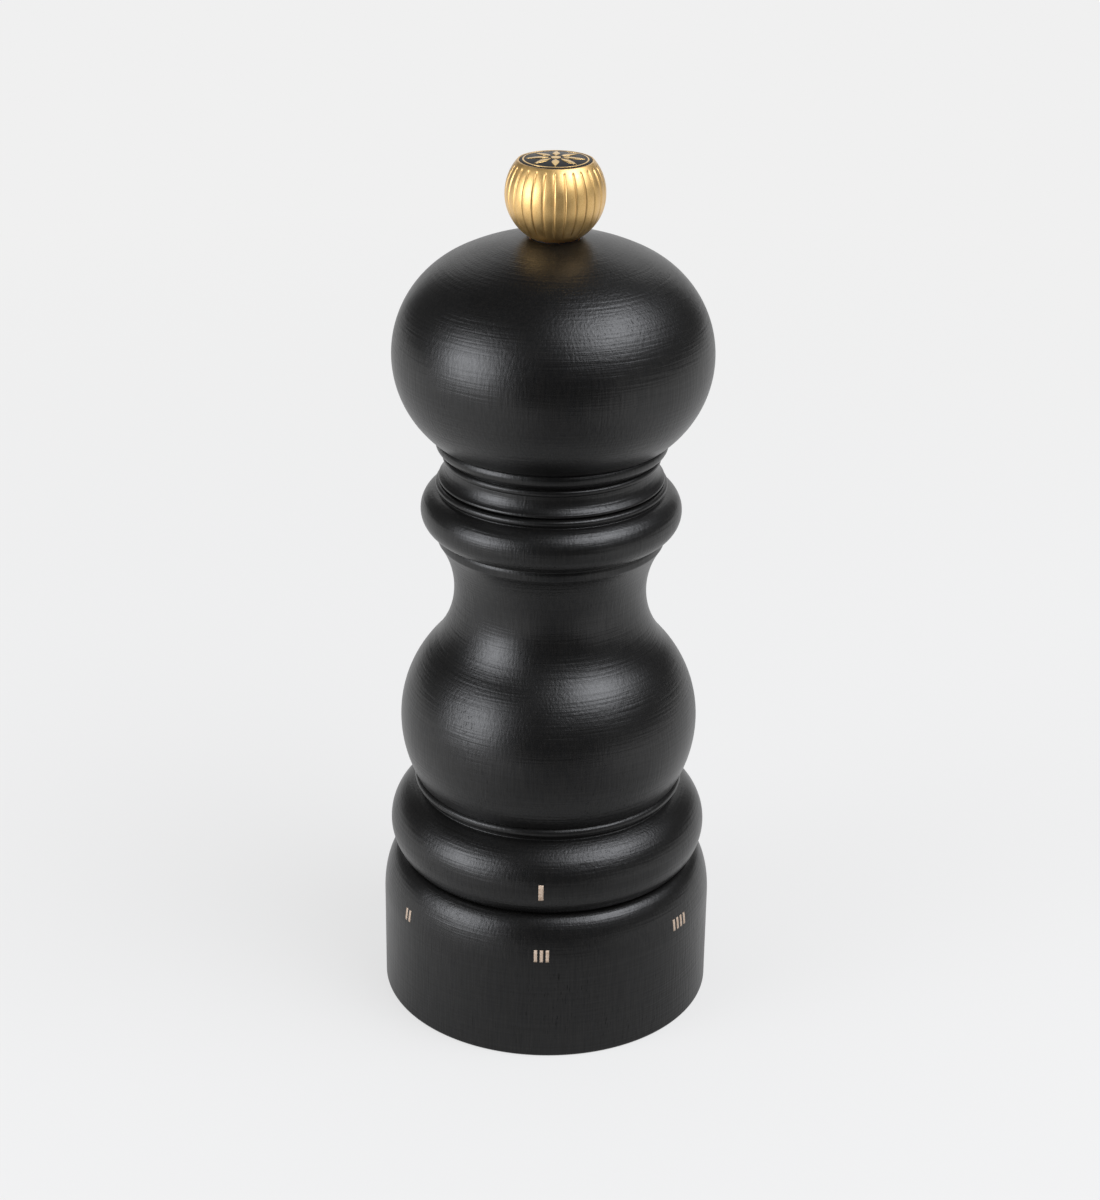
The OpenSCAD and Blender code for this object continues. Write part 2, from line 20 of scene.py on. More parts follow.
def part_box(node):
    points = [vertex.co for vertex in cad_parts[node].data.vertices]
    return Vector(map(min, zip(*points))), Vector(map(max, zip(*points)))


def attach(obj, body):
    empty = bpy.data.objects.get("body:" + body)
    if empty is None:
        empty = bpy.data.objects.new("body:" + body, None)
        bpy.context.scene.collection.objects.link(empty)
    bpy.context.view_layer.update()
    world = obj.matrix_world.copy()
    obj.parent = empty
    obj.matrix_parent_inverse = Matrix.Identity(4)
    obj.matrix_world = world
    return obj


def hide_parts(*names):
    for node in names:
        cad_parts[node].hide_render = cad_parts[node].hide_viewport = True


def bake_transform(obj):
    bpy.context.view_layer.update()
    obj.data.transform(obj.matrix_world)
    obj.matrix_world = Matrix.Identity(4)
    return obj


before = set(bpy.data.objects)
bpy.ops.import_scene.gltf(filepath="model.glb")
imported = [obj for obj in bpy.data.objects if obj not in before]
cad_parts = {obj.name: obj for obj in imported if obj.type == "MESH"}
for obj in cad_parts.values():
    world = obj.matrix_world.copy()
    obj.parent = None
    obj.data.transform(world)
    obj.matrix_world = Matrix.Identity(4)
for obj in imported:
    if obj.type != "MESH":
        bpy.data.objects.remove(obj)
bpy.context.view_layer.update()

MM = 0.001
LOG = logging.getLogger("pepper_mill")

Outline = list[tuple[float, float]]


# ---------------------------------------------------------------- small helpers

def linear(code: str) -> tuple[float, float, float, float]:
    """Turn an sRGB hex colour into the linear colour that Blender's sockets hold.

    Args:
        code: The colour, such as "#d7b496".

    Returns:
        Red, green, blue and an alpha of 1.
    """
    parts = [int(code[i:i + 2], 16) / 255 for i in (1, 3, 5)]
    red, green, blue = [c / 12.92 if c <= 0.04045 else ((c + 0.055) / 1.055) ** 2.4 for c in parts]
    return (red, green, blue, 1.0)


def fill(node: bpy.types.Node, inputs: dict[int | str, object]) -> None:
    """Fill or link a node's inputs.

    Args:
        node: The node.
        inputs: For a socket's name or number, its value or the field that feeds it.
    """
    for key, value in inputs.items():
        if isinstance(value, Field):
            node.id_data.links.new(value.node.outputs[value.output], node.inputs[key])
        else:
            node.inputs[key].default_value = value


def add_node(tree: bpy.types.NodeTree, kind: str, inputs: dict | None = None, **settings: object) -> Field:
    """Add a node with its settings and links.

    Args:
        tree: The material, world, lamp or geometry tree that gets the node.
        kind: The node's type.
        inputs: For a socket's name or number, its value or the field that feeds it.
        **settings: The node's own properties.

    Returns:
        The node's first output.
    """
    node = tree.nodes.new(kind)
    for name, value in settings.items():
        setattr(node, name, value)
    fill(node, inputs or {})
    return Field(node)


def reckoned(operation: str, *values: Field | float) -> Field:
    """Work out a number in the tree of the first field among some values.

    Args:
        operation: The name of the sum, such as "MAXIMUM".
        *values: The values, in the order of the sum.

    Returns:
        The result.
    """
    tree = next(value.tree for value in values if isinstance(value, Field))
    return add_node(tree, "ShaderNodeMath", dict(enumerate(values)), operation=operation)


class Field:
    """An output of a node. Sums of fields and plain numbers become nodes of the same tree."""

    def __init__(self, node: bpy.types.Node, output: int | str = 0) -> None:
        """Keep the node and the name or number of its output."""
        self.node, self.output = node, output

    @property
    def tree(self) -> bpy.types.NodeTree:
        """The tree that the node stands in."""
        return self.node.id_data

    def __getitem__(self, output: int | str) -> Field:
        """Give another output of the same node."""
        return Field(self.node, output)

    def summed(self, operation: str, *others: Field | float) -> Field:
        """Work out a number from the field and the values after it."""
        return reckoned(operation, self, *others)

    def __rsub__(self, other: float) -> Field:
        """Take the field away from a plain number."""
        return reckoned("SUBTRACT", other, self)

    __add__ = partialmethod(summed, "ADD")
    __sub__ = partialmethod(summed, "SUBTRACT")
    __mul__ = partialmethod(summed, "MULTIPLY")
    __truediv__ = partialmethod(summed, "DIVIDE")
    __abs__ = partialmethod(summed, "ABSOLUTE")


def placed(name: str, mesh: bpy.types.Mesh) -> bpy.types.Object:
    """Put a mesh into the scene at the origin.

    Args:
        name: The new object's name.
        mesh: The mesh, with its place in it.

    Returns:
        The object.
    """
    piece = bpy.data.objects.new(name, mesh)
    bpy.context.scene.collection.objects.link(piece)
    return piece


def dressed(piece: bpy.types.Object, body: str, slot: str, *nodes: str) -> None:
    """Fasten a finished piece to the frame.

    Args:
        piece: The piece, with its place in its mesh.
        body: The CAD body that it moves with.
        slot: The record's material slot of its finish; not used.
        *nodes: The CAD nodes that it stands for.
    """
    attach(piece, body)
    if nodes:
        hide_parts(*nodes)
    LOG.info("%s rides on %s, %d faces, for %s", piece.name, body, len(piece.data.polygons), nodes or "no node")


# ---------------------------------------------------------------- outlines, as the lathe cuts them

def arc(cr: float, cz: float, r: float, start: float, end: float, step: float = 0.42) -> Outline:
    """Points of an arc.

    Args:
        cr: Radius of the arc's centre from the axis.
        cz: Height of the arc's centre.
        r: Radius of the arc, below zero for one that is turned half round.
        start: First angle, in degrees from the outward direction.
        end: Last angle.
        step: Rough distance between points.

    Returns:
        The points, as radius and height.
    """
    count = max(4, math.ceil(abs(math.radians(end - start) * r) / step))
    angles = [math.radians(start + (end - start) * i / count) for i in range(count + 1)]
    return [(cr + r * math.cos(a), cz + r * math.sin(a)) for a in angles]


def upright_radius(dr: float, dz: float) -> float:
    """Radius of an arc that is upright at one end and moves dr sideways over dz."""
    return (dr * dr + dz * dz) / (2 * dr)


def upright(r0: float, z0: float, r1: float, z1: float) -> Outline:
    """Arc from (r0, z0), where it is upright, to (r1, z1): a swelling where r0 is wider, or else a hollow."""
    q = upright_radius(r0 - r1, z1 - z0)
    return arc(r0 - q, z0, q, 0, math.degrees(math.asin((z1 - z0) / q)))


def ogee(r0: float, z0: float, r1: float, z1: float, share: float) -> Outline:
    """Two arcs that share a tangent, the first's share of the way from the widest line (r0, z0) to (r1, z1)."""
    middle = (r0 + (r1 - r0) * share, z0 + (z1 - z0) * share)
    return upright(r0, z0, *middle) + upright(r1, z1, *middle)[-2::-1]


def shoulder(r0: float, z0: float, r1: float, z1: float, count: int = 30) -> Outline:
    """Quarter of an ellipse from (r0, z0) up and in to (r1, z1), in a number of steps."""
    angles = [math.pi / 2 * i / count for i in range(count + 1)]
    return [(r1 + (r0 - r1) * math.cos(a), z0 + (z1 - z0) * math.sin(a)) for a in angles]


def roll_angle(cr: float, q: float, r: float) -> float:
    """Angle at which a roll of radius q round cr reaches radius r."""
    return math.degrees(math.acos((r - cr) / q))


@dataclass(frozen=True)
class Cut:
    """A point of a closed outline, in millimetres.

    Attributes:
        at: Radius and height.
        bare: Whether the point lies on the bare core.
    """

    at: Vector
    bare: bool

    def on_axis(self) -> bool:
        """Whether the point lies on the axis."""
        return self.at.x < 1e-6


def rounded(points: list[Cut], radius: float, sharp: float = 14.0, steps: int = 4) -> list[Cut]:
    """Round an outline's corners, as sanding and lacquer do.

    Args:
        points: The closed outline.
        radius: How far along each side a corner's rounding reaches.
        sharp: Smallest turn, in degrees, that counts as a corner.
        steps: Number of short sides round a corner.

    Returns:
        The rounded outline.
    """
    longest = 0.45        # share of a side that one corner may take
    made: list[Cut] = []
    for i, cut in enumerate(points):
        here = cut.at
        back = points[i - 1].at - here
        ahead = points[(i + 1) % len(points)].at - here
        if cut.on_axis() or back.angle(ahead) > math.radians(180 - sharp):
            made.append(cut)
            continue
        reach = min(radius, longest * back.length, longest * ahead.length)
        first = here + back.normalized() * reach
        last = here + ahead.normalized() * reach
        for k in range(steps + 1):
            t = k / steps
            made.append(Cut(first * (1 - t) ** 2 + here * 2 * t * (1 - t) + last * t ** 2, cut.bare))
    return made


def held(points: list[Cut], hold: float = 0.3) -> list[Cut]:
    """Add points near the ends of long straight stretches, so that smooth shading keeps them straight.

    Args:
        points: The closed outline.
        hold: Distance of the new points from the ends.

    Returns:
        The outline with its new points.
    """
    made: list[Cut] = []
    for i, cut in enumerate(points):
        after = points[(i + 1) % len(points)]
        side = after.at - cut.at
        made.append(cut)
        if side.length > 4 * hold and not (cut.on_axis() and after.on_axis()):
            step = side.normalized() * hold
            made += [Cut(at, cut.bare and after.bare) for at in (cut.at + step, cut.at + side / 2, after.at - step)]
    return made


# ---------------------------------------------------------------- finishes

def noise(place: Field, across: float, along: float | None = None, detail: float = 2.0) -> Field:
    """Noise whose blots have a real size.

    Args:
        place: Coordinates in metres.
        across: Size of a blot along X and Y, in millimetres.
        along: Size along Z, or the same.
        detail: Octaves of finer noise.

    Returns:
        The noise, from 0 to 1.
    """
    scale = tuple(1 / (size * MM) for size in (across, across, along or across))
    moved = add_node(place.tree, "ShaderNodeMapping", {"Vector": place, "Scale": scale})
    return add_node(place.tree, "ShaderNodeTexNoise", {"Vector": moved, "Scale": 1.0, "Detail": detail})


def ramped(value: Field, low: Field | float, high: Field | float, to_low: Field | float = 0.0,
           to_high: Field | float = 1.0, kind: str = "LINEAR") -> Field:
    """Map a value from low..high to to_low..to_high, and hold it there outside."""
    inputs = {"Value": value, "From Min": low, "From Max": high, "To Min": to_low, "To Max": to_high}
    return add_node(value.tree, "ShaderNodeMapRange", inputs, clamp=True, interpolation_type=kind)


def blended(share: Field, first: str, second: str) -> Field:
    """Mix two sRGB hex colours by a share from 0 to 1."""
    inputs = {"Factor": share, 6: linear(first), 7: linear(second)}
    return add_node(share.tree, "ShaderNodeMix", inputs, data_type="RGBA")[2]


def raised(height: Field, depth: float, *under: Field) -> Field:
    """Bump from a height of 0 to 1 and a depth in millimetres, on the normal of the relief beneath it, if any."""
    inputs = {"Height": height, "Distance": depth * MM, "Strength": 1.0, **{"Normal": normal for normal in under}}
    return add_node(height.tree, "ShaderNodeBump", inputs)


@dataclass(frozen=True)
class Finish:
    """A finish: what all materials share.

    Attributes:
        name: The material's name.
        colour: sRGB hex colour.
        roughness: Microfacet roughness.
    """

    name: str
    colour: str
    roughness: float

    def make(self) -> bpy.types.Material:
        """Make the material, or give the one that is there already.

        Returns:
            The material.
        """
        found = bpy.data.materials.get(self.name)
        if found:
            return found
        material = bpy.data.materials.new(self.name)
        material.use_nodes = True
        tree = material.node_tree
        place = add_node(tree, "ShaderNodeTexCoord")["Object"]
        inputs = {"Base Color": linear(self.colour), "Roughness": self.roughness, **self.surface(place)}
        fill(tree.nodes["Principled BSDF"], inputs)
        return material

    def surface(self, place: Field) -> dict[str, object]:
        """Give the shader's other inputs, worked out from the piece's own coordinates in metres."""
        raise NotImplementedError


@dataclass(frozen=True)
class LacqueredBeech(Finish):
    """Beech, turned, dyed black and sprayed with satin lacquer.

    The lacquer fills the pores, so the eye sees a black satin film with soft lamp glows. The glows are
    woven: the gouge and the sandpaper left fine rings, and the grain swelled into upright streaks under the
    dye. Here and there a long pore still shows as a dent.

    Attributes:
        ring_pitch: Spacing of the turning rings.
        ring_run: Rough distance round the axis over which a ring fades.
        streak_width: Width of a streak across the grain.
        streak_length: Length of a streak along the grain.
        pore_width: Width of a pore's dent across the grain.
        pore_length: Length of a dent along the grain.
        patch_width: Width of a patch where the marks are stronger or fainter.
        patch_length: Its length along the grain.
        streak_colour: sRGB hex colour of the streaks.
    """

    name: str = "black_lacquered_beech"
    colour: str = "#0a0a0a"
    roughness: float = 0.33
    ring_pitch: float = 0.52
    ring_run: float = 14.0
    streak_width: float = 0.5
    streak_length: float = 5.5
    pore_width: float = 0.28
    pore_length: float = 1.8
    patch_width: float = 11.0
    patch_length: float = 24.0
    streak_colour: str = "#11100f"

    def surface(self, place: Field) -> dict[str, object]:
        """Lay rings, streaks and open pores over each other.

        Args:
            place: The piece's own coordinates in metres.

        Returns:
            The shader's inputs.
        """
        tree = place.tree
        along = add_node(tree, "ShaderNodeAttribute", attribute_name="along")["Fac"]
        split = add_node(tree, "ShaderNodeSeparateXYZ", {0: place})
        # The rings run round the axis: quick change along the outline, slow change round it
        slow, quick = 1 / (self.ring_run * MM), 1 / (self.ring_pitch * MM)
        round_axis = add_node(tree, "ShaderNodeCombineXYZ", {
            0: split[0] * slow, 1: split[1] * slow, 2: along * quick})
        rings = add_node(tree, "ShaderNodeTexNoise", {"Vector": round_axis, "Scale": 1.0, "Detail": 2.0})
        streaks = noise(place, self.streak_width, self.streak_length)
        threads = noise(place, self.pore_width, self.streak_length, 1.0)
        pores = noise(place, self.pore_width, self.pore_length, 1.0)
        patches = noise(place, self.patch_width, self.patch_length)
        worn = ramped(patches, 0.3, 0.7, 0.45, 1.0)
        open_pores = ramped(pores, 0.62, 0.76) * ramped(patches, 0.4, 0.7)
        normal = raised(streaks * worn, 0.06, raised(rings * worn, 0.08))
        rough = ramped(patches, 0.3, 0.7, self.roughness - 0.02, self.roughness + 0.03)
        weave = ramped(threads, 0.3, 0.7, 0.48, 0.58) * ramped(rings, 0.3, 0.7, 0.9, 1.0)
        return {"Normal": raised(1.0 - open_pores, 0.02, normal),
                "Base Color": blended(ramped(streaks, 0.35, 0.7), self.colour, self.streak_colour),
                "Roughness": rough + open_pores * 0.08,
                "Specular IOR Level": weave - open_pores * 0.3}


@dataclass(frozen=True)
class BareBeech(Finish):
    """Beech as the drill leaves it, inside the chamber and on the tenon.

    The eye sees pale pinkish wood with short brown flecks along the grain and no shine.
    """

    name: str = "bare_beech"
    colour: str = "#c79a6b"
    roughness: float = 0.62

    def surface(self, place: Field) -> dict[str, object]:
        """Draw long growth bands and short flecks.

        Args:
            place: The piece's own coordinates in metres.

        Returns:
            The shader's inputs.
        """
        growth = noise(place, 2.6, 60.0, 3.0)
        flecks = noise(place, 0.45, 3.0, 1.0)
        dark = ramped(flecks, 0.58, 0.70) * 0.75
        share = reckoned("MAXIMUM", ramped(growth, 0.35, 0.7) * 0.4, dark)
        return {"Base Color": blended(share, self.colour, "#8a5a35"), "Normal": raised(1.0 - dark, 0.06)}


@dataclass(frozen=True)
class SatinGilt(Finish):
    """Die-cast metal, tumbled and gilt, so that it keeps a fine grain under the gold.

    The eye sees broad cream glows, a deep ochre where it reflects the black wood, and fine sparkle.
    """

    name: str = "satin_gilt"
    colour: str = "#f8d089"
    roughness: float = 0.46

    def surface(self, place: Field) -> dict[str, object]:
        """Lay the tumbled grain over soft waves, under a thin clear coat.

        Args:
            place: The piece's own coordinates in metres.

        Returns:
            The shader's inputs.
        """
        grain, cloud = noise(place, 0.16), noise(place, 1.8)
        return {"Metallic": 1.0, "Coat Weight": 0.8, "Coat Roughness": 0.38,
                "Normal": raised(grain, 0.010, raised(cloud, 0.012)),
                "Roughness": ramped(cloud, 0.3, 0.7, self.roughness - 0.04, self.roughness + 0.05),
                "Base Color": blended(ramped(grain, 0.4, 0.75), self.colour, "#e6b767")}


@dataclass(frozen=True)
class PolishedGilt(Finish):
    """Gilt foil under the enamel's level: smooth, brighter and paler than the knob."""

    name: str = "polished_gilt"
    colour: str = "#edc784"
    roughness: float = 0.24

    def surface(self, place: Field) -> dict[str, object]:
        """Give the foil the faint ripple of a pressed surface."""
        ripple = noise(place, 0.8)
        return {"Metallic": 1.0, "Normal": raised(ripple, 0.006),
                "Roughness": ramped(ripple, 0.3, 0.7, self.roughness - 0.03, self.roughness + 0.05)}


@dataclass(frozen=True)
class BlackEnamel(Finish):
    """Poured black enamel: a glassy dome with the faint ripple of a poured surface."""

    name: str = "black_enamel"
    colour: str = "#0b0c10"
    roughness: float = 0.16

    def surface(self, place: Field) -> dict[str, object]:
        """Give the enamel its ripple."""
        return {"Specular IOR Level": 0.03, "Normal": raised(noise(place, 1.6), 0.010)}


@dataclass(frozen=True)
class PadPrint(Finish):
    """Pale copper-gold ink, printed through a pad: matt, a little mottled where the film is thin."""

    name: str = "pale_gold_print"
    colour: str = "#cbb8a6"
    roughness: float = 0.5

    def surface(self, place: Field) -> dict[str, object]:
        """Mottle the film."""
        mottle = noise(place, 0.35)
        return {"Base Color": blended(ramped(mottle, 0.35, 0.75), self.colour, "#a98f78"),
                "Normal": raised(mottle, 0.01)}


@dataclass(frozen=True)
class MouldedNylon(Finish):
    """Glass-filled nylon from a spark-eroded mould: charcoal, with a fine matt orange-peel."""

    name: str = "moulded_nylon"
    colour: str = "#1c1d1f"
    roughness: float = 0.5

    def surface(self, place: Field) -> dict[str, object]:
        """Lay the mould's peel over the plastic's flow marks.

        Args:
            place: The piece's own coordinates in metres.

        Returns:
            The shader's inputs.
        """
        peel, flow = noise(place, 0.35), noise(place, 5.0, 9.0)
        return {"Normal": raised(peel, 0.03),
                "Roughness": ramped(flow, 0.3, 0.7, self.roughness - 0.07, self.roughness + 0.06),
                "Base Color": blended(ramped(flow, 0.35, 0.7), self.colour, "#26282a")}


class Grain(Enum):
    """How a metal surface is marked."""

    SPARK = "pits of a blasted or plated surface"
    LATHE = "fine lathe lines"
    DRAWN = "drawing lines"


@dataclass(frozen=True)
class CutMetal(Finish):
    """Bare or plated metal with the marks of how it was cut.

    The eye sees a grey or brass sheen that breaks up along the tool's lines.

    Attributes:
        grain: Which marks the tool left.
        pitch: Spacing of the marks.
        depth: Depth of the marks.
        dark: sRGB hex colour of the darker clouds.
    """

    grain: Grain
    pitch: float
    depth: float
    dark: str

    def surface(self, place: Field) -> dict[str, object]:
        """Lay the tool's marks over soft clouds.

        Args:
            place: The piece's own coordinates in metres.

        Returns:
            The shader's inputs.
        """
        lathe_run, drawn_run = 12.0, 30.0
        sizes = {Grain.SPARK: (self.pitch, self.pitch), Grain.LATHE: (lathe_run, self.pitch),
                 Grain.DRAWN: (self.pitch, drawn_run)}
        cloud = noise(place, 3.0, detail=3.0)
        return {"Metallic": 1.0, "Normal": raised(noise(place, *sizes[self.grain]), self.depth),
                "Base Color": blended(ramped(cloud, 0.35, 0.75), self.colour, self.dark),
                "Roughness": ramped(cloud, 0.3, 0.7, self.roughness - 0.05, self.roughness + 0.07)}


LACQUER = LacqueredBeech()
BARE = BareBeech()
GILT = SatinGilt()
FOIL = PolishedGilt()
ENAMEL = BlackEnamel()
PRINT = PadPrint()
NYLON = MouldedNylon()
BURR_STEEL = CutMetal("hardened_burr_steel", "#8b8e92", 0.36, Grain.SPARK, 0.25, 0.015, "#5f6266")
ZINC_STEEL = CutMetal("zinc_plated_steel", "#b4b8bb", 0.33, Grain.SPARK, 0.6, 0.008, "#8f9397")
DRAWN_STEEL = CutMetal("cold_drawn_steel", "#aeb1b5", 0.28, Grain.DRAWN, 0.22, 0.008, "#868a8e")
TURNED_BRASS = CutMetal("turned_brass", "#d3a957", 0.27, Grain.LATHE, 0.25, 0.01, "#b98a3c")


# ---------------------------------------------------------------- node trees that grow shapes

def new_tree(name: str, **sockets: list[str]) -> tuple[bpy.types.NodeTree, dict[str, Field]]:
    """Start a geometry tree.

    Args:
        name: The tree's name.
        **sockets: The names of the inputs after the geometry, for each kind of socket.

    Returns:
        The tree and its inputs.
    """
    tree = bpy.data.node_groups.new(name, "GeometryNodeTree")
    tree.interface.new_socket("Geometry", in_out="OUTPUT", socket_type="NodeSocketGeometry")
    for kind, labels in {"Geometry": ["Geometry"], **sockets}.items():
        for label in labels:
            tree.interface.new_socket(label, in_out="INPUT", socket_type="NodeSocket" + kind)
    node = tree.nodes.new("NodeGroupInput")
    return tree, {socket.name: Field(node, socket.name) for socket in node.outputs if socket.name}


def close_tree(tree: bpy.types.NodeTree, shape: Field, *finishes: tuple[Field, Field | bool]) -> None:
    """End a geometry tree: realise what is instanced, shade it smooth and give it its finishes.

    Args:
        tree: The tree.
        shape: The geometry so far.
        *finishes: Each material and where it goes.
    """
    shape = add_node(tree, "GeometryNodeRealizeInstances", {0: shape})
    shape = add_node(tree, "GeometryNodeSetShadeSmooth", {0: shape})
    for material, where in finishes:
        inputs = {"Geometry": shape, "Selection": where, "Material": material}
        shape = add_node(tree, "GeometryNodeSetMaterial", inputs)
    add_node(tree, "NodeGroupOutput", {0: shape})


def grow(name: str, seed: bpy.types.Mesh, tree: bpy.types.NodeTree, values: dict[str, object]) -> bpy.types.Object:
    """Run a geometry tree on a seed mesh and keep the result as a plain mesh.

    Args:
        name: The new piece's name.
        seed: The mesh that the tree starts from.
        tree: The tree.
        values: The tree's named inputs.

    Returns:
        The piece, at the origin.
    """
    source = placed(name + "_seed", seed)
    modifier = source.modifiers.new(tree.name, "NODES")
    modifier.node_group = tree
    for socket in tree.interface.items_tree:
        if socket.in_out == "INPUT" and socket.name in values:
            modifier[socket.identifier] = values[socket.name]
    graph = bpy.context.evaluated_depsgraph_get()
    mesh = bpy.data.meshes.new_from_object(source.evaluated_get(graph))
    source.modifiers.remove(modifier)
    bpy.data.objects.remove(source)
    mesh.name = name
    return placed(name, mesh)


def face_outwards(piece: bpy.types.Object) -> bpy.types.Object:
    """Close a piece's seams and turn its faces so that it encloses a positive volume.

    Args:
        piece: The piece.

    Returns:
        The same piece.
    """
    work = bmesh.new()
    work.from_mesh(piece.data)
    bmesh.ops.remove_doubles(work, verts=work.verts, dist=1e-7)
    if work.calc_volume(signed=True) < 0:
        bmesh.ops.reverse_faces(work, faces=work.faces)
    work.to_mesh(piece.data)
    work.free()
    return piece


def turning_tree() -> bpy.types.NodeTree:
    """Lathe: turns an outline, drawn as radius and height, round the axis.

    It keeps each point's distance along the outline as "along", and gives stretches marked "bare" the core's
    finish.

    Returns:
        The tree.
    """
    tree, given = new_tree("turning", Int=["Segments"], Material=["Skin", "Core"])
    reach, mostly = 0.02, 0.75
    laid = add_node(tree, "GeometryNodeTransform", {
        "Geometry": given["Geometry"], "Translation": (-reach, 0, 0), "Scale": (1, -1, 1)})
    curve = add_node(tree, "GeometryNodeMeshToCurve", {0: laid})
    length = add_node(tree, "GeometryNodeSplineParameter")["Length"]
    marked = add_node(tree, "GeometryNodeStoreNamedAttribute", {"Geometry": curve, "Name": "along", "Value": length},
                      data_type="FLOAT")
    circle = add_node(tree, "GeometryNodeCurvePrimitiveCircle", {"Resolution": given["Segments"], "Radius": reach})
    swept = add_node(tree, "GeometryNodeCurveToMesh", {"Curve": circle, "Profile Curve": marked})
    merged = add_node(tree, "GeometryNodeMergeByDistance", {"Geometry": swept, "Distance": 1e-6})
    bare = add_node(tree, "GeometryNodeInputNamedAttribute", {"Name": "bare"}, data_type="FLOAT")
    core = add_node(tree, "FunctionNodeCompare", {0: bare, 1: mostly}, data_type="FLOAT", operation="GREATER_THAN")
    close_tree(tree, merged, (given["Skin"], True), (given["Core"], core))
    return tree


class Lathe:
    """Turns outlines into pieces, all with one tree."""

    def __init__(self) -> None:
        """Build the lathe's tree."""
        self.tree = turning_tree()

    def turn(self, name: str, skin: Outline, finish: Finish, core: Outline | None = None,
             core_finish: Finish | None = None, segments: int = 288, soften: float = 0.22) -> bpy.types.Object:
        """Turn one piece.

        Args:
            name: The piece's name.
            skin: Outline of the finished outside, from the foot up, in millimetres.
            finish: The outside's finish.
            core: The rest of the closed outline, from the top back down.
            core_finish: The core's finish, or the outside's where it has none.
            segments: Faces round the axis.
            soften: Reach of the corners' rounding.

        Returns:
            The piece.
        """
        cuts = [Cut(Vector(p), False) for p in skin] + [Cut(Vector(p), True) for p in core or []]
        cuts = [cut for i, cut in enumerate(cuts) if (cut.at - cuts[i - 1].at).length > 1e-4]
        loop = held(rounded(cuts, soften))
        mesh = bpy.data.meshes.new(name + "_outline")
        count = len(loop)
        mesh.from_pydata([(cut.at.x * MM, cut.at.y * MM, 0.0) for cut in loop],
                         [(i, (i + 1) % count) for i in range(count)], [])
        bare = mesh.attributes.new("bare", "FLOAT", "POINT")
        bare.data.foreach_set("value", [float(cut.bare) for cut in loop])
        values = {"Segments": segments, "Skin": finish.make(), "Core": (core_finish or finish).make()}
        return face_outwards(grow(name, mesh, self.tree, values))


def fluting_tree() -> bpy.types.NodeTree:
    """Files grooves down the side of a ball, each a V with softly rolled shoulders.

    The grooves are deepest at the top, fade towards the foot, and end at slightly different heights.

    Returns:
        The tree.
    """
    tree, given = new_tree("fluting", Int=["Grooves", "Seed"], Material=["Material"],
                           Float=["Width", "Top depth", "Foot depth", "Centre", "Radius", "Foot angle", "Top angle",
                                  "Spread"])
    vee_share, roll_share, roll_fall = 0.86, 0.14, -0.22      # a groove's V, and how its shoulders fall away
    foot_fade, top_fade = 0.13, 0.05                          # radians over which a groove fades in and out
    skin_depth = 5e-5                                         # only points this close to the ball are moved
    split = add_node(tree, "ShaderNodeSeparateXYZ", {0: add_node(tree, "GeometryNodeInputPosition")})
    x, y, up = split[0], split[1], split[2] - given["Centre"]
    out = reckoned("SQRT", x * x + y * y)
    angle = reckoned("ARCTAN2", up, out)
    far = reckoned("SQRT", out * out + up * up)
    pitch = (reckoned("ARCTAN2", y, x) + math.pi / 2) / math.tau * given["Grooves"]
    number = reckoned("ROUND", pitch)
    aside = abs(pitch - number) * math.tau * out / given["Grooves"]
    shares = aside / (given["Width"] * 0.5)
    vee = reckoned("MAXIMUM", 1.0 - shares, 0.0)
    cut = vee * vee_share + reckoned("EXPONENT", shares * shares * roll_fall) * roll_share
    chance = add_node(tree, "FunctionNodeRandomValue", {
        "Min": -1.0, "Max": 1.0, "ID": reckoned("FLOORED_MODULO", number, given["Grooves"]), "Seed": given["Seed"]},
        data_type="FLOAT")[1]
    low, high = given["Foot angle"] + chance * given["Spread"], given["Top angle"]
    foot = ramped(angle, low, low + foot_fade, kind="SMOOTHSTEP")
    top = ramped(angle, high, high - top_fade, kind="SMOOTHSTEP")
    depth = ramped(angle, low, high, given["Foot depth"], given["Top depth"])
    skin = add_node(tree, "FunctionNodeCompare", {0: far, 1: given["Radius"] - skin_depth}, data_type="FLOAT",
                    operation="GREATER_THAN")
    inwards = cut * depth * (foot * top) * -1.0 / far
    move = add_node(tree, "ShaderNodeCombineXYZ", {0: x * inwards, 1: y * inwards, 2: up * inwards})
    filed = add_node(tree, "GeometryNodeSetPosition", {"Geometry": given["Geometry"], "Selection": skin,
                                                       "Offset": move})
    close_tree(tree, filed, (given["Material"], True))
    return tree


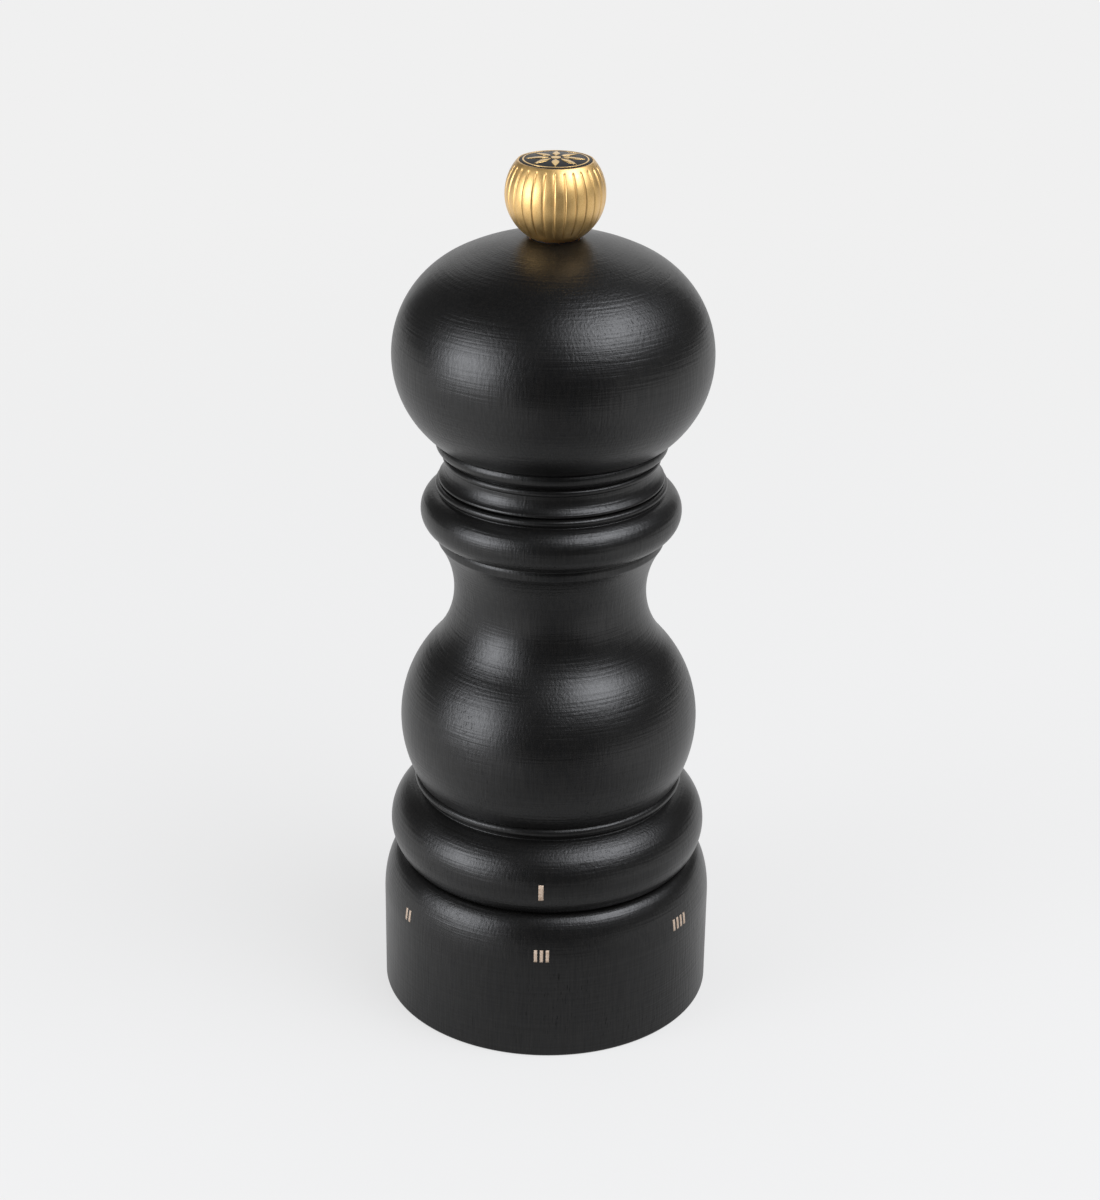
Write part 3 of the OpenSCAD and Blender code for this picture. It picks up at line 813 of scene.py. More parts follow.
def tally_tree() -> bpy.types.NodeTree:
    """Prints a row of upright bars on a turned wall.

    The wall's outline comes as an arc or ellipse: radius = centre + reach * sqrt(1 - (dz / rise)^2).

    Returns:
        The tree.
    """
    tree, given = new_tree("tally", Int=["Bars"], Material=["Material"],
                           Float=["Pitch", "Width", "Height", "Film", "Level", "Azimuth", "Wall centre",
                                  "Wall reach", "Wall level", "Wall rise"])
    size = add_node(tree, "ShaderNodeCombineXYZ", {0: given["Width"], 1: given["Film"], 2: given["Height"]})
    bar = add_node(tree, "GeometryNodeMeshCube", {"Size": size, "Vertices X": 5, "Vertices Y": 2, "Vertices Z": 12})
    start = add_node(tree, "ShaderNodeCombineXYZ", {0: (given["Bars"] - 1.0) * given["Pitch"] * -0.5})
    step = add_node(tree, "ShaderNodeCombineXYZ", {0: given["Pitch"]})
    row = add_node(tree, "GeometryNodeMeshLine", {"Count": given["Bars"], "Start Location": start, "Offset": step})
    bars = add_node(tree, "GeometryNodeInstanceOnPoints", {"Points": row, "Instance": bar})
    real = add_node(tree, "GeometryNodeRealizeInstances", {0: bars})
    place = add_node(tree, "ShaderNodeSeparateXYZ", {0: add_node(tree, "GeometryNodeInputPosition")})
    z = place[2] + given["Level"]
    share = (z - given["Wall level"]) / given["Wall rise"]
    bend = reckoned("SQRT", reckoned("MAXIMUM", 1.0 - share * share, 0.0))
    wall = given["Wall centre"] + given["Wall reach"] * bend
    out = wall - place[1]
    turn = place[0] / wall + given["Azimuth"]
    wrapped = add_node(tree, "ShaderNodeCombineXYZ", {
        0: out * reckoned("COSINE", turn), 1: out * reckoned("SINE", turn), 2: z})
    laid = add_node(tree, "GeometryNodeSetPosition", {"Geometry": real, "Position": wrapped})
    close_tree(tree, laid, (given["Material"], True))
    return tree


@dataclass(frozen=True)
class Wall:
    """The turned wall that bars are printed on, in millimetres.

    Attributes:
        centre: Radius where its arc or ellipse is centred.
        reach: How far the arc reaches out from there.
        level: Height of the centre.
        rise: How far the arc reaches up.
    """

    centre: float
    reach: float
    level: float
    rise: float


class Pad:
    """Prints bars on turned walls, all with one tree."""

    film: float = 0.05        # thickness of the print, thick enough to show

    def __init__(self) -> None:
        """Build the pad's tree."""
        self.tree = tally_tree()

    def tally(self, name: str, bars: int, size: tuple[float, float, float], level: float, azimuth: float,
              wall: Wall) -> bpy.types.Object:
        """Print a row of bars.

        Args:
            name: The print's name.
            bars: Number of bars.
            size: Width and height of a bar, and the distance between bars.
            level: Height of the bars' middle.
            azimuth: Where the row's middle stands, in degrees from +X.
            wall: The wall.

        Returns:
            The print.
        """
        lengths = {"Width": size[0], "Height": size[1], "Pitch": size[2], "Film": self.film, "Level": level,
                   "Wall centre": wall.centre, "Wall reach": wall.reach, "Wall level": wall.level,
                   "Wall rise": wall.rise}
        values = {"Bars": bars, "Azimuth": math.radians(azimuth), "Material": PRINT.make(),
                  **{label: length * MM for label, length in lengths.items()}}
        return face_outwards(grow(name, bpy.data.meshes.new("seed"), self.tree, values))


def coil_tree() -> bpy.types.NodeTree:
    """Winds a compression spring with closed end turns.

    Returns:
        The tree.
    """
    tree, given = new_tree("coil", Int=["Turns"], Float=["Radius", "Wire", "Foot", "Height"], Material=["Material"])
    turns, wire = given["Turns"], given["Wire"]
    spiral = add_node(tree, "GeometryNodeCurveSpiral", {
        "Resolution": 40, "Rotations": turns, "Start Radius": given["Radius"], "End Radius": given["Radius"],
        "Height": 0.0})
    turned = add_node(tree, "GeometryNodeSplineParameter")["Factor"] * turns
    first = reckoned("MINIMUM", turned, 1.0)
    last = reckoned("MAXIMUM", turned - (turns - 1.0), 0.0)
    dead = (first + last) * (wire * 2.0)
    # The turns between the two dead ones share the height that the closed wire leaves
    free = given["Height"] - wire * 6.0
    lift = free * (turned - first - last) / (turns - 2.0)
    rise = add_node(tree, "ShaderNodeCombineXYZ", {2: dead + lift + (given["Foot"] + wire)})
    wound = add_node(tree, "GeometryNodeSetPosition", {"Geometry": spiral, "Offset": rise})
    section = add_node(tree, "GeometryNodeCurvePrimitiveCircle", {"Resolution": 16, "Radius": wire})
    drawn = add_node(tree, "GeometryNodeCurveToMesh", {"Curve": wound, "Profile Curve": section, "Fill Caps": True})
    close_tree(tree, drawn, (given["Material"], True))
    return tree


def sunburst_tree() -> bpy.types.NodeTree:
    """Sets copies of one ray round the axis and drapes them on a dome.

    The dome's height above its edge falls from its middle as the square of the radius.

    Returns:
        The tree.
    """
    tree, given = new_tree("sunburst", Int=["Rays"], Float=["Edge", "Edge level", "Dome"], Material=["Material"])
    points = add_node(tree, "GeometryNodePoints", {"Count": given["Rays"]})
    turn = add_node(tree, "GeometryNodeInputIndex") * math.tau / given["Rays"]
    spin = add_node(tree, "ShaderNodeCombineXYZ", {2: turn})
    rays = add_node(tree, "GeometryNodeInstanceOnPoints", {"Points": points, "Instance": given["Geometry"],
                                                           "Rotation": spin})
    real = add_node(tree, "GeometryNodeRealizeInstances", {0: rays})
    place = add_node(tree, "ShaderNodeSeparateXYZ", {0: add_node(tree, "GeometryNodeInputPosition")})
    share = (place[0] * place[0] + place[1] * place[1]) / (given["Edge"] * given["Edge"])
    lift = add_node(tree, "ShaderNodeCombineXYZ", {2: given["Edge level"] + given["Dome"] * (1.0 - share)})
    draped = add_node(tree, "GeometryNodeSetPosition", {"Geometry": real, "Offset": lift})
    close_tree(tree, draped, (given["Material"], True))
    return tree


# ---------------------------------------------------------------- levels that the pieces share

@dataclass(frozen=True)
class Levels:
    """Heights where the turned pieces meet, in millimetres."""

    ring_top: float
    barrel_foot: float
    head_foot: float
    seat: float
    knob_foot: float
    knob_top: float

    @classmethod
    def from_frame(cls) -> Levels:
        """Read the levels from the CAD nodes' boxes.

        Returns:
            The levels.
        """
        barrel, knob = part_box("barrel"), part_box("knob_shell")
        tops = (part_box("base_ring")[1], barrel[0], barrel[1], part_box("knob_washer")[0], knob[0], knob[1])
        return cls(*(corner.z / MM for corner in tops))


def half_width(node: str) -> float:
    """Half of a round CAD node's size across the axis, in millimetres, where its facets reach least."""
    low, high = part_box(node)
    return min(-low.x, high.x, -low.y, high.y) / MM


# ---------------------------------------------------------------- sub-assemblies

@dataclass
class Turned:
    """What the turned sub-assemblies share.

    Attributes:
        levels: Heights where they meet.
        lathe: The lathe.
        pad: The printing pad.
    """

    levels: Levels
    lathe: Lathe
    pad: Pad


@dataclass
class GrindRing(Turned):
    """The wooden base ring that turns to set the grind, with its printed order marks.

    Attributes:
        wall_up: Height at which the wall starts to round into the shoulder.
        rim_r: Radius of the shoulder's top edge.
        edge: Softening of the edge that stands on the table.
        bore_r: Radius of the bore for the liner.
        orders: Number of grind settings.
        click: Angle between neighbouring settings, in degrees.
        front_order: The setting that faces the index bar.
        mark_level: Height of the middle of the marks.
        mark_size: Width and height of a bar, and the distance between bars.
    """

    wall_up: float = 21.0
    rim_r: float = 30.0
    edge: float = 0.6
    bore_r: float = 27.0
    orders: int = 6
    click: float = 55.0
    front_order: int = 3
    mark_level: float = 23.98
    mark_size: tuple[float, float, float] = (0.65, 2.6, 1.2)

    def dress(self) -> None:
        """Turn the ring and print its marks, one bar for the first order, two for the second, and so on."""
        r = half_width("base_ring")
        top, foot, stages = self.levels.ring_top, 0.0, 8
        skin = [(r - self.edge, foot)] + arc(r - self.edge, self.edge, self.edge, -90, 0)[1:]
        skin += [(r, self.edge + (self.wall_up - self.edge) * i / stages) for i in range(1, stages)]
        skin += shoulder(r, self.wall_up, self.rim_r, top)
        core = [(self.bore_r, top), (self.bore_r, foot)]
        ring = self.lathe.turn("base_ring_wood", skin, LACQUER, core, BARE)
        dressed(ring, "grind_ring", "lacquered_wood", "base_ring")
        wall = Wall(self.rim_r, r - self.rim_r, self.wall_up, top - self.wall_up)
        for order in range(1, self.orders + 1):
            azimuth = -90 + (order - self.front_order) * self.click
            mark = self.pad.tally(f"order_mark_{order}", order, self.mark_size, self.mark_level, azimuth, wall)
            dressed(mark, "grind_ring", "gold_metal")


@dataclass
class Barrel(Turned):
    """The wooden body: foot roll, bead, bulb, neck and collar, with the index bar.

    A name in _r is a radius and one in _up a height above the barrel's foot. The hair is what the barrel's
    mouth keeps off the head, so that the two faces don't touch while one turns.
    """

    roll_up: float = 6.2
    roll_r: float = 9.0
    step_r: float = 26.7
    bead_rise: float = 0.8
    bead_r: float = 1.0
    bead_out: float = 0.1
    bulb_foot_out: float = 0.55
    bulb_r: float = 30.55
    bulb_up: float = 30.2
    ogee_share: float = 0.57
    neck_r: float = 19.5
    neck_up: float = 58.9
    collar_step_r: float = 22.8
    collar_step_up: float = 69.7
    collar_step_h: float = 1.2
    collar_r: float = 26.15
    collar_up: float = 76.2
    collar_roll_r: float = 4.8
    collar_sink: float = 0.2
    lip_r: float = 22.4
    lip_bead_r: float = 0.75
    groove_out: float = 0.3
    groove_h: float = 0.4
    chamber_r: float = 13.5
    sleeve_r: float = 21.0
    sleeve_up: float = 20.0
    index_level: float = 37.8
    index_size: tuple[float, float, float] = (1.0, 3.6, 1.0)
    index_azimuth: float = -90.5
    hair: float = 0.02

    def outline(self) -> Outline:
        """Outside of the barrel, from its foot to its mouth.

        Returns:
            The points, as radius and height.
        """
        foot = self.levels.barrel_foot
        roll_c = half_width("barrel") - self.roll_r
        roll_end = roll_angle(roll_c, self.roll_r, self.step_r)
        roll_start = -math.degrees(math.asin(self.roll_up / self.roll_r))
        bead_z = foot + self.roll_up + self.roll_r * math.sin(math.radians(roll_end)) + self.bead_rise + self.bead_r
        collar_c = self.collar_r - self.collar_roll_r
        low_r, high_r = self.collar_step_r - self.collar_sink, self.lip_r + self.lip_bead_r + self.collar_sink
        lip_z = self.levels.head_foot - self.hair - self.lip_bead_r
        neck_z, bulb_z, step_z = foot + self.neck_up, foot + self.bulb_up, foot + self.collar_step_up
        points = arc(roll_c, foot + self.roll_up, self.roll_r, roll_start, roll_end)
        points += arc(self.step_r + self.bead_out, bead_z, self.bead_r, -84, 72, 0.18)
        points += upright(self.bulb_r, bulb_z, self.step_r + self.bulb_foot_out, bead_z + self.bead_r)[::-1]
        points += ogee(self.bulb_r, bulb_z, self.neck_r, neck_z, self.ogee_share)[1:]
        points += upright(self.neck_r, neck_z, self.collar_step_r, step_z)[1:]
        points += [(self.collar_step_r, step_z + self.collar_step_h)]
        points += arc(collar_c, foot + self.collar_up, self.collar_roll_r,
                      -roll_angle(collar_c, self.collar_roll_r, low_r),
                      roll_angle(collar_c, self.collar_roll_r, high_r))
        points += [(self.lip_r + self.groove_out, lip_z - self.lip_bead_r - self.groove_h / 2)]
        points += arc(self.lip_r, lip_z, self.lip_bead_r, -60, 90, 0.15)
        return points

    def dress(self) -> None:
        """Turn the barrel, lacquered outside and bare in its bores, and print the index bar on its foot roll."""
        foot, top = self.levels.barrel_foot, self.levels.head_foot - self.hair
        ledge = foot + self.sleeve_up
        core = [(self.chamber_r, top), (self.chamber_r, ledge), (self.sleeve_r, ledge), (self.sleeve_r, foot)]
        dressed(self.lathe.turn("barrel_wood", self.outline(), LACQUER, core, BARE), "barrel", "lacquered_wood",
                "barrel")
        wall = Wall(half_width("barrel") - self.roll_r, self.roll_r, foot + self.roll_up, self.roll_r)
        bar = self.pad.tally("index_bar", 1, self.index_size, self.index_level, self.index_azimuth, wall)
        dressed(bar, "barrel", "gold_metal")


@dataclass
class Head(Turned):
    """The wooden head: rim, throat, beads and ball, with the bore for the shaft.

    A name in _r is a radius and one in _up a height above the head's foot.
    """

    rim_r: float = 22.55
    rim_h: float = 1.1
    rim_soft: float = 0.35
    rim_edge: float = 0.1
    throat_r: float = 21.1
    throat_up: float = 4.0
    band_r: float = 0.75
    band_up: float = 0.9
    band_in: float = 0.15
    bead_out: float = 23.1
    bead_round: float = 1.6
    bead_up: float = 7.95
    ball_step: float = 0.4
    ball_foot_up: float = 9.4
    ball_up: float = 26.05
    crown_up: float = 23.8
    crown_flat: float = 2.5
    seat_r: float = 5.2
    tenon_r: float = 13.2
    tenon_h: float = 9.6
    bore_r: float = 4.64
    plate_r: float = 10.8
    plate_t: float = 1.5

    def outline(self) -> Outline:
        """Outside of the head, from its rim to the seat under the knob.

        Returns:
            The points, as radius and height.
        """
        foot = self.levels.head_foot
        ball_r, ball_z = half_width("head"), foot + self.ball_up
        side_r = self.crown_up - self.crown_flat
        side_c = ball_r - side_r
        crown_r = (side_c ** 2 + self.crown_up ** 2 - side_r ** 2) / (2 * self.crown_flat)
        tangent = math.degrees(math.atan2(crown_r - self.crown_up, side_c))
        edge_r = self.rim_r - self.rim_edge
        points = [(self.rim_r - 2 * self.rim_soft, foot), (edge_r, foot + self.rim_soft),
                  (self.rim_r, foot + self.rim_h / 2), (edge_r, foot + self.rim_h - 2 * self.rim_edge)]
        points += upright(self.throat_r, foot + self.throat_up, self.rim_r - self.rim_soft, foot + self.rim_h)[::-1]
        band_z = foot + self.throat_up + self.band_up
        points += arc(self.throat_r - self.band_in, band_z, self.band_r, -80, 80, 0.15)
        points += arc(self.bead_out - self.bead_round, foot + self.bead_up, self.bead_round, -62, 56, 0.2)
        points += upright(ball_r, ball_z, self.bead_out + self.ball_step, foot + self.ball_foot_up)[::-1]
        points += arc(side_c, ball_z, side_r, 0, tangent)[1:]
        points += arc(0, ball_z + self.crown_up - crown_r, crown_r, tangent,
                      math.degrees(math.acos(self.seat_r / crown_r)))[1:]
        return points + [(self.seat_r, self.levels.seat)]

    def dress(self) -> None:
        """Turn the head, lacquered outside and bare on its tenon and in its bore."""
        under = self.levels.head_foot - self.tenon_h
        ledge = under + self.plate_t
        core = [(self.bore_r, self.levels.seat), (self.bore_r, ledge), (self.plate_r, ledge), (self.plate_r, under),
                (self.tenon_r, under), (self.tenon_r, self.levels.head_foot)]
        dressed(self.lathe.turn("head_wood", self.outline(), LACQUER, core, BARE), "head", "lacquered_wood", "head")


@dataclass
class Knob(Turned):
    """The fluted gilt knob with its enamelled cap.

    A name in _r, _in or _out is a radius; angles are in degrees above the ball's middle, and spread is how
    far up or down a groove may end.
    """

    foot_r: float = 4.7
    cap_r: float = 6.9
    cap_gap: float = 0.06
    cap_t: float = 1.4
    dome: float = 0.44
    insert_r: float = 4.0
    insert_h: float = 8.6
    grooves: int = 28
    groove_w: float = 0.46
    top_depth: float = 0.27
    foot_depth: float = 0.19
    foot_angle: float = -50.0
    top_angle: float = 37.0
    spread: float = 4.0
    rays: int = 8
    ring_out: float = 6.35
    ring_in: float = 6.05
    ray_in: float = 1.25
    ray_out: float = 5.65
    hub_r: float = 0.95
    inlay_t: float = 0.05

    def shell(self) -> bpy.types.Object:
        """Turn the ball and file its grooves.

        Returns:
            The shell.
        """
        r, foot, top = half_width("knob_shell"), self.levels.knob_foot, self.levels.knob_top
        centre = foot + math.sqrt(r * r - self.foot_r ** 2)
        low, high = (math.degrees(math.asin((level - centre) / r)) for level in (foot, top))
        recess, floor, deep = self.cap_r + self.cap_gap, top - self.cap_t + self.dome, foot + self.insert_h
        core = [(recess, top), (recess, floor), (0, floor), (0, deep), (self.insert_r, deep), (self.insert_r, foot)]
        ball = self.lathe.turn("knob_blank", arc(0, centre, r, low, high, 0.2), GILT, core, GILT,
                               segments=self.grooves * 20, soften=0.14)
        values = {
            "Grooves": self.grooves, "Width": self.groove_w * MM, "Top depth": self.top_depth * MM,
            "Foot depth": self.foot_depth * MM, "Centre": centre * MM, "Radius": r * MM,
            "Foot angle": math.radians(self.foot_angle), "Top angle": math.radians(self.top_angle),
            "Spread": math.radians(self.spread), "Seed": 4, "Material": GILT.make()}
        shell = grow("knob_fluted_shell", ball.data, fluting_tree(), values)
        bpy.data.objects.remove(ball)
        return shell

    def cap(self) -> bpy.types.Object:
        """Pour the enamel dome.

        Returns:
            The cap.
        """
        top = self.levels.knob_top
        low = top - self.cap_t + self.dome
        dome_r = upright_radius(self.dome, self.cap_r)
        edge = math.degrees(math.acos(self.cap_r / dome_r))
        skin = [(self.cap_r, low)] + arc(0, top + self.dome - dome_r, dome_r, edge, 90, 0.25) + [(0, low)]
        return self.lathe.turn("cap_enamel", skin, ENAMEL, segments=144, soften=0.12)

    def inlay(self, name: str, inner: float, outer: float, segments: int) -> bpy.types.Object:
        """Turn a thin gilt ring or boss that lies in the enamel and follows its dome.

        Args:
            name: The piece's name.
            inner: Inner radius.
            outer: Outer radius.
            segments: Faces round the axis.

        Returns:
            The piece.
        """
        count = 6
        radii = [inner + (outer - inner) * i / count for i in range(count + 1)]
        outline = [(r, self.levels.knob_top + self.dome * (1 - (r / self.cap_r) ** 2) + side * self.inlay_t)
                   for side, row in ((-1, radii), (1, radii[::-1])) for r in row]
        return self.lathe.turn(name, outline, FOIL, segments=segments, soften=0.02)

    def sunburst(self) -> bpy.types.Object:
        """Cut one kite-shaped ray from foil and lay its copies in the enamel.

        Returns:
            The rays.
        """
        steps, widest, tip, fullness = 8, 0.3, 0.04, 0.72
        work = bmesh.new()
        loops = []
        for i in range(steps + 1):
            t = i / steps
            r = self.ray_in + (self.ray_out - self.ray_in) * t
            half = math.pi / self.rays * fullness * max(tip, t / widest if t < widest else (1 - t) / (1 - widest))
            row = [(r * math.cos(a), r * math.sin(a)) for a in (-half, -half / 3, half / 3, half)]
            sides = ((-self.inlay_t, row), (self.inlay_t, row[::-1]))
            loops.append([work.verts.new((x * MM, y * MM, z * MM)) for z, points in sides for x, y in points])
        for near, far in zip(loops, loops[1:]):
            for k in range(len(near)):
                work.faces.new((near[k - 1], near[k], far[k], far[k - 1]))
        for end in (loops[0], loops[-1]):
            for k in range(3):
                work.faces.new((end[k], end[k + 1], end[6 - k], end[7 - k]))
        bmesh.ops.recalc_face_normals(work, faces=work.faces)
        ray = bpy.data.meshes.new("ray")
        work.to_mesh(ray)
        work.free()
        values = {"Rays": self.rays, "Edge": self.cap_r * MM, "Edge level": self.levels.knob_top * MM,
                  "Dome": self.dome * MM, "Material": FOIL.make()}
        return face_outwards(grow("cap_sunburst", ray, sunburst_tree(), values))

    def dress(self) -> None:
        """Build and fasten the knob and its cap."""
        dressed(self.shell(), "knob", "gold_metal", "knob_shell")
        dressed(self.cap(), "knob", "enamel", "cap_disc")
        dressed(self.inlay("cap_gilt_ring", self.ring_in, self.ring_out, 144), "knob", "gold_metal")
        dressed(self.inlay("cap_gilt_hub", 0, self.hub_r, 96), "knob", "gold_metal")
        dressed(self.sunburst(), "knob", "gold_metal")


# The mechanism's pieces that keep their CAD shapes: node, body, material slot and finish
FITTINGS = [
    ("mech_housing", "barrel", "black_plastic", NYLON),
    ("housing_screws", "barrel", "plated_steel", ZINC_STEEL),
    ("outer_burr", "barrel", "burr_steel", BURR_STEEL),
    ("detent_ball", "barrel", "burr_steel", DRAWN_STEEL),
    ("ring_liner", "grind_ring", "black_plastic", NYLON),
    ("adjuster_bridge", "bridge", "black_plastic", NYLON),
    ("thrust_washer", "bridge", "brass_fittings", TURNED_BRASS),
    ("spindle", "spindle", "shaft_steel", DRAWN_STEEL),
    ("spindle_bush", "spindle", "black_plastic", NYLON),
    ("spindle_clip", "spindle", "plated_steel", ZINC_STEEL),
    ("inner_burr", "cone_burr", "burr_steel", BURR_STEEL),
    ("drive_plate", "head", "plated_steel", ZINC_STEEL),
    ("plate_screws", "head", "plated_steel", ZINC_STEEL),
    ("head_ferrule", "head", "brass_fittings", TURNED_BRASS),
    ("knob_washer", "knob_washer", "black_plastic", NYLON),
    ("knob_insert", "knob", "brass_fittings", TURNED_BRASS)]


@dataclass
class Mechanism:
    """The grinding mechanism, the spindle and their fastenings.

    Attributes:
        crease: Turn between faces, in degrees, past which an edge stays sharp.
        turns: Turns of a spring.
        burr_coil_r: Radius of the burr spring's coil.
        burr_wire_r: Radius of its wire.
        detent_coil_r: Radius of the detent spring's coil.
        detent_wire_r: Radius of its wire.
    """

    crease: float = 28.0
    turns: int = 6
    burr_coil_r: float = 5.3
    burr_wire_r: float = 0.5
    detent_coil_r: float = 1.1
    detent_wire_r: float = 0.15

    def smoothed(self, node: str, finish: Finish) -> bpy.types.Object:
        """Copy a CAD node with its seams merged and its round faces shaded smooth.

        Args:
            node: The CAD node.
            finish: Its finish.

        Returns:
            The copy.
        """
        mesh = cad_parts[node].data.copy()
        mesh.name = node + "_smoothed"
        work = bmesh.new()
        work.from_mesh(mesh)
        bmesh.ops.remove_doubles(work, verts=work.verts, dist=1e-6)
        for edge in work.edges:
            edge.smooth = len(edge.link_faces) == 2 and edge.calc_face_angle(0) < math.radians(self.crease)
        for face in work.faces:
            face.smooth = True
        work.to_mesh(mesh)
        work.free()
        mesh.materials.clear()
        mesh.materials.append(finish.make())
        if "custom_normal" in mesh.attributes:
            mesh.attributes.remove(mesh.attributes["custom_normal"])
        return placed(mesh.name, mesh)

    def springs(self) -> None:
        """Wind the burr spring, and wind and fasten the detent's small spring."""
        tree = coil_tree()
        low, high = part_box("burr_spring")
        wire = self.burr_wire_r * MM
        values = {"Radius": self.burr_coil_r * MM, "Wire": wire, "Foot": low.z, "Height": high.z - low.z,
                  "Turns": self.turns, "Material": DRAWN_STEEL.make()}
        spring = grow("burr_spring_coil", bpy.data.meshes.new("seed"), tree, values)
        # The cone burr lifts against the clip on the spindle, so the coils close up between the two
        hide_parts("burr_spring")
        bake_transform(spring)
        LOG.info("%s turns from cone_burr to spindle, %d faces", spring.name, len(spring.data.polygons))
        low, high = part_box("detent_spring")
        values.update({"Radius": self.detent_coil_r * MM, "Wire": self.detent_wire_r * MM, "Foot": -high.y,
                       "Height": high.y - low.y})
        small = grow("detent_spring_coil", bpy.data.meshes.new("seed"), tree, values)
        middle = Matrix.Translation((0, 0, (low.z + high.z) / 2))
        small.data.transform(middle @ Matrix.Rotation(math.pi / 2, 4, "X"))
        dressed(small, "barrel", "shaft_steel", "detent_spring")

    def dress(self) -> None:
        """Build all the pieces, and fasten all but the burr spring."""
        for node, body, slot, finish in FITTINGS:
            dressed(self.smoothed(node, finish), body, slot, node)
        self.springs()


# ---------------------------------------------------------------- studio

def towards(azimuth: float, elevation: float) -> Vector:
    """Direction from the mill, in degrees round it from the camera's side and above the horizon."""
    az, el = math.radians(azimuth), math.radians(elevation)
    return Vector((math.sin(az) * math.cos(el), -math.cos(az) * math.cos(el), math.sin(el)))


@dataclass
class Softbox:
    """A plain rectangular lamp that faces the mill from a metre away.

    Attributes:
        name: The lamp's name.
        azimuth: Direction round the mill, in degrees from the camera's side, positive to the right.
        elevation: Height above the horizon, in degrees.
        width: Width in metres.
        height: Height in metres.
        radiance: Brightness of its face, where 1 is white.
        even: Share of its width and height that shines evenly.
        edge: Share of its brightness left at its frame.
    """

    name: str
    azimuth: float
    elevation: float
    width: float
    height: float
    radiance: float
    even: float = 0.1
    edge: float = 0.12

    def hang(self) -> None:
        """Hang the lamp so that it faces the mill's middle."""
        lamp = bpy.data.lights.new(self.name, "AREA")
        lamp.shape = "RECTANGLE"
        lamp.size, lamp.size_y = self.width, self.height
        lamp.energy = self.radiance * math.pi * self.width * self.height
        lamp.color = (0.96, 0.98, 1.03)
        # The cloth front is brightest in its middle and fades towards its frame
        lamp.use_nodes = True
        tree = lamp.node_tree
        tree.nodes.clear()
        front = add_node(tree, "ShaderNodeNewGeometry")["Parametric"]
        spot = add_node(tree, "ShaderNodeSeparateXYZ", {0: front})
        shares = [ramped(abs(spot[side] - 0.5), self.even / 2, 0.5, 1.0, self.edge) for side in range(2)]
        cloth = add_node(tree, "ShaderNodeEmission", {"Strength": shares[0] * shares[1]})
        add_node(tree, "ShaderNodeOutputLight", {"Surface": cloth})
        holder = bpy.data.objects.new(self.name, lamp)
        aim = towards(self.azimuth, self.elevation)
        holder.location = Vector((0, 0, 0.1)) + aim
        holder.rotation_euler = aim.to_track_quat("Z", "Y").to_euler()
        holder.visible_camera = False
        bpy.context.scene.collection.objects.link(holder)


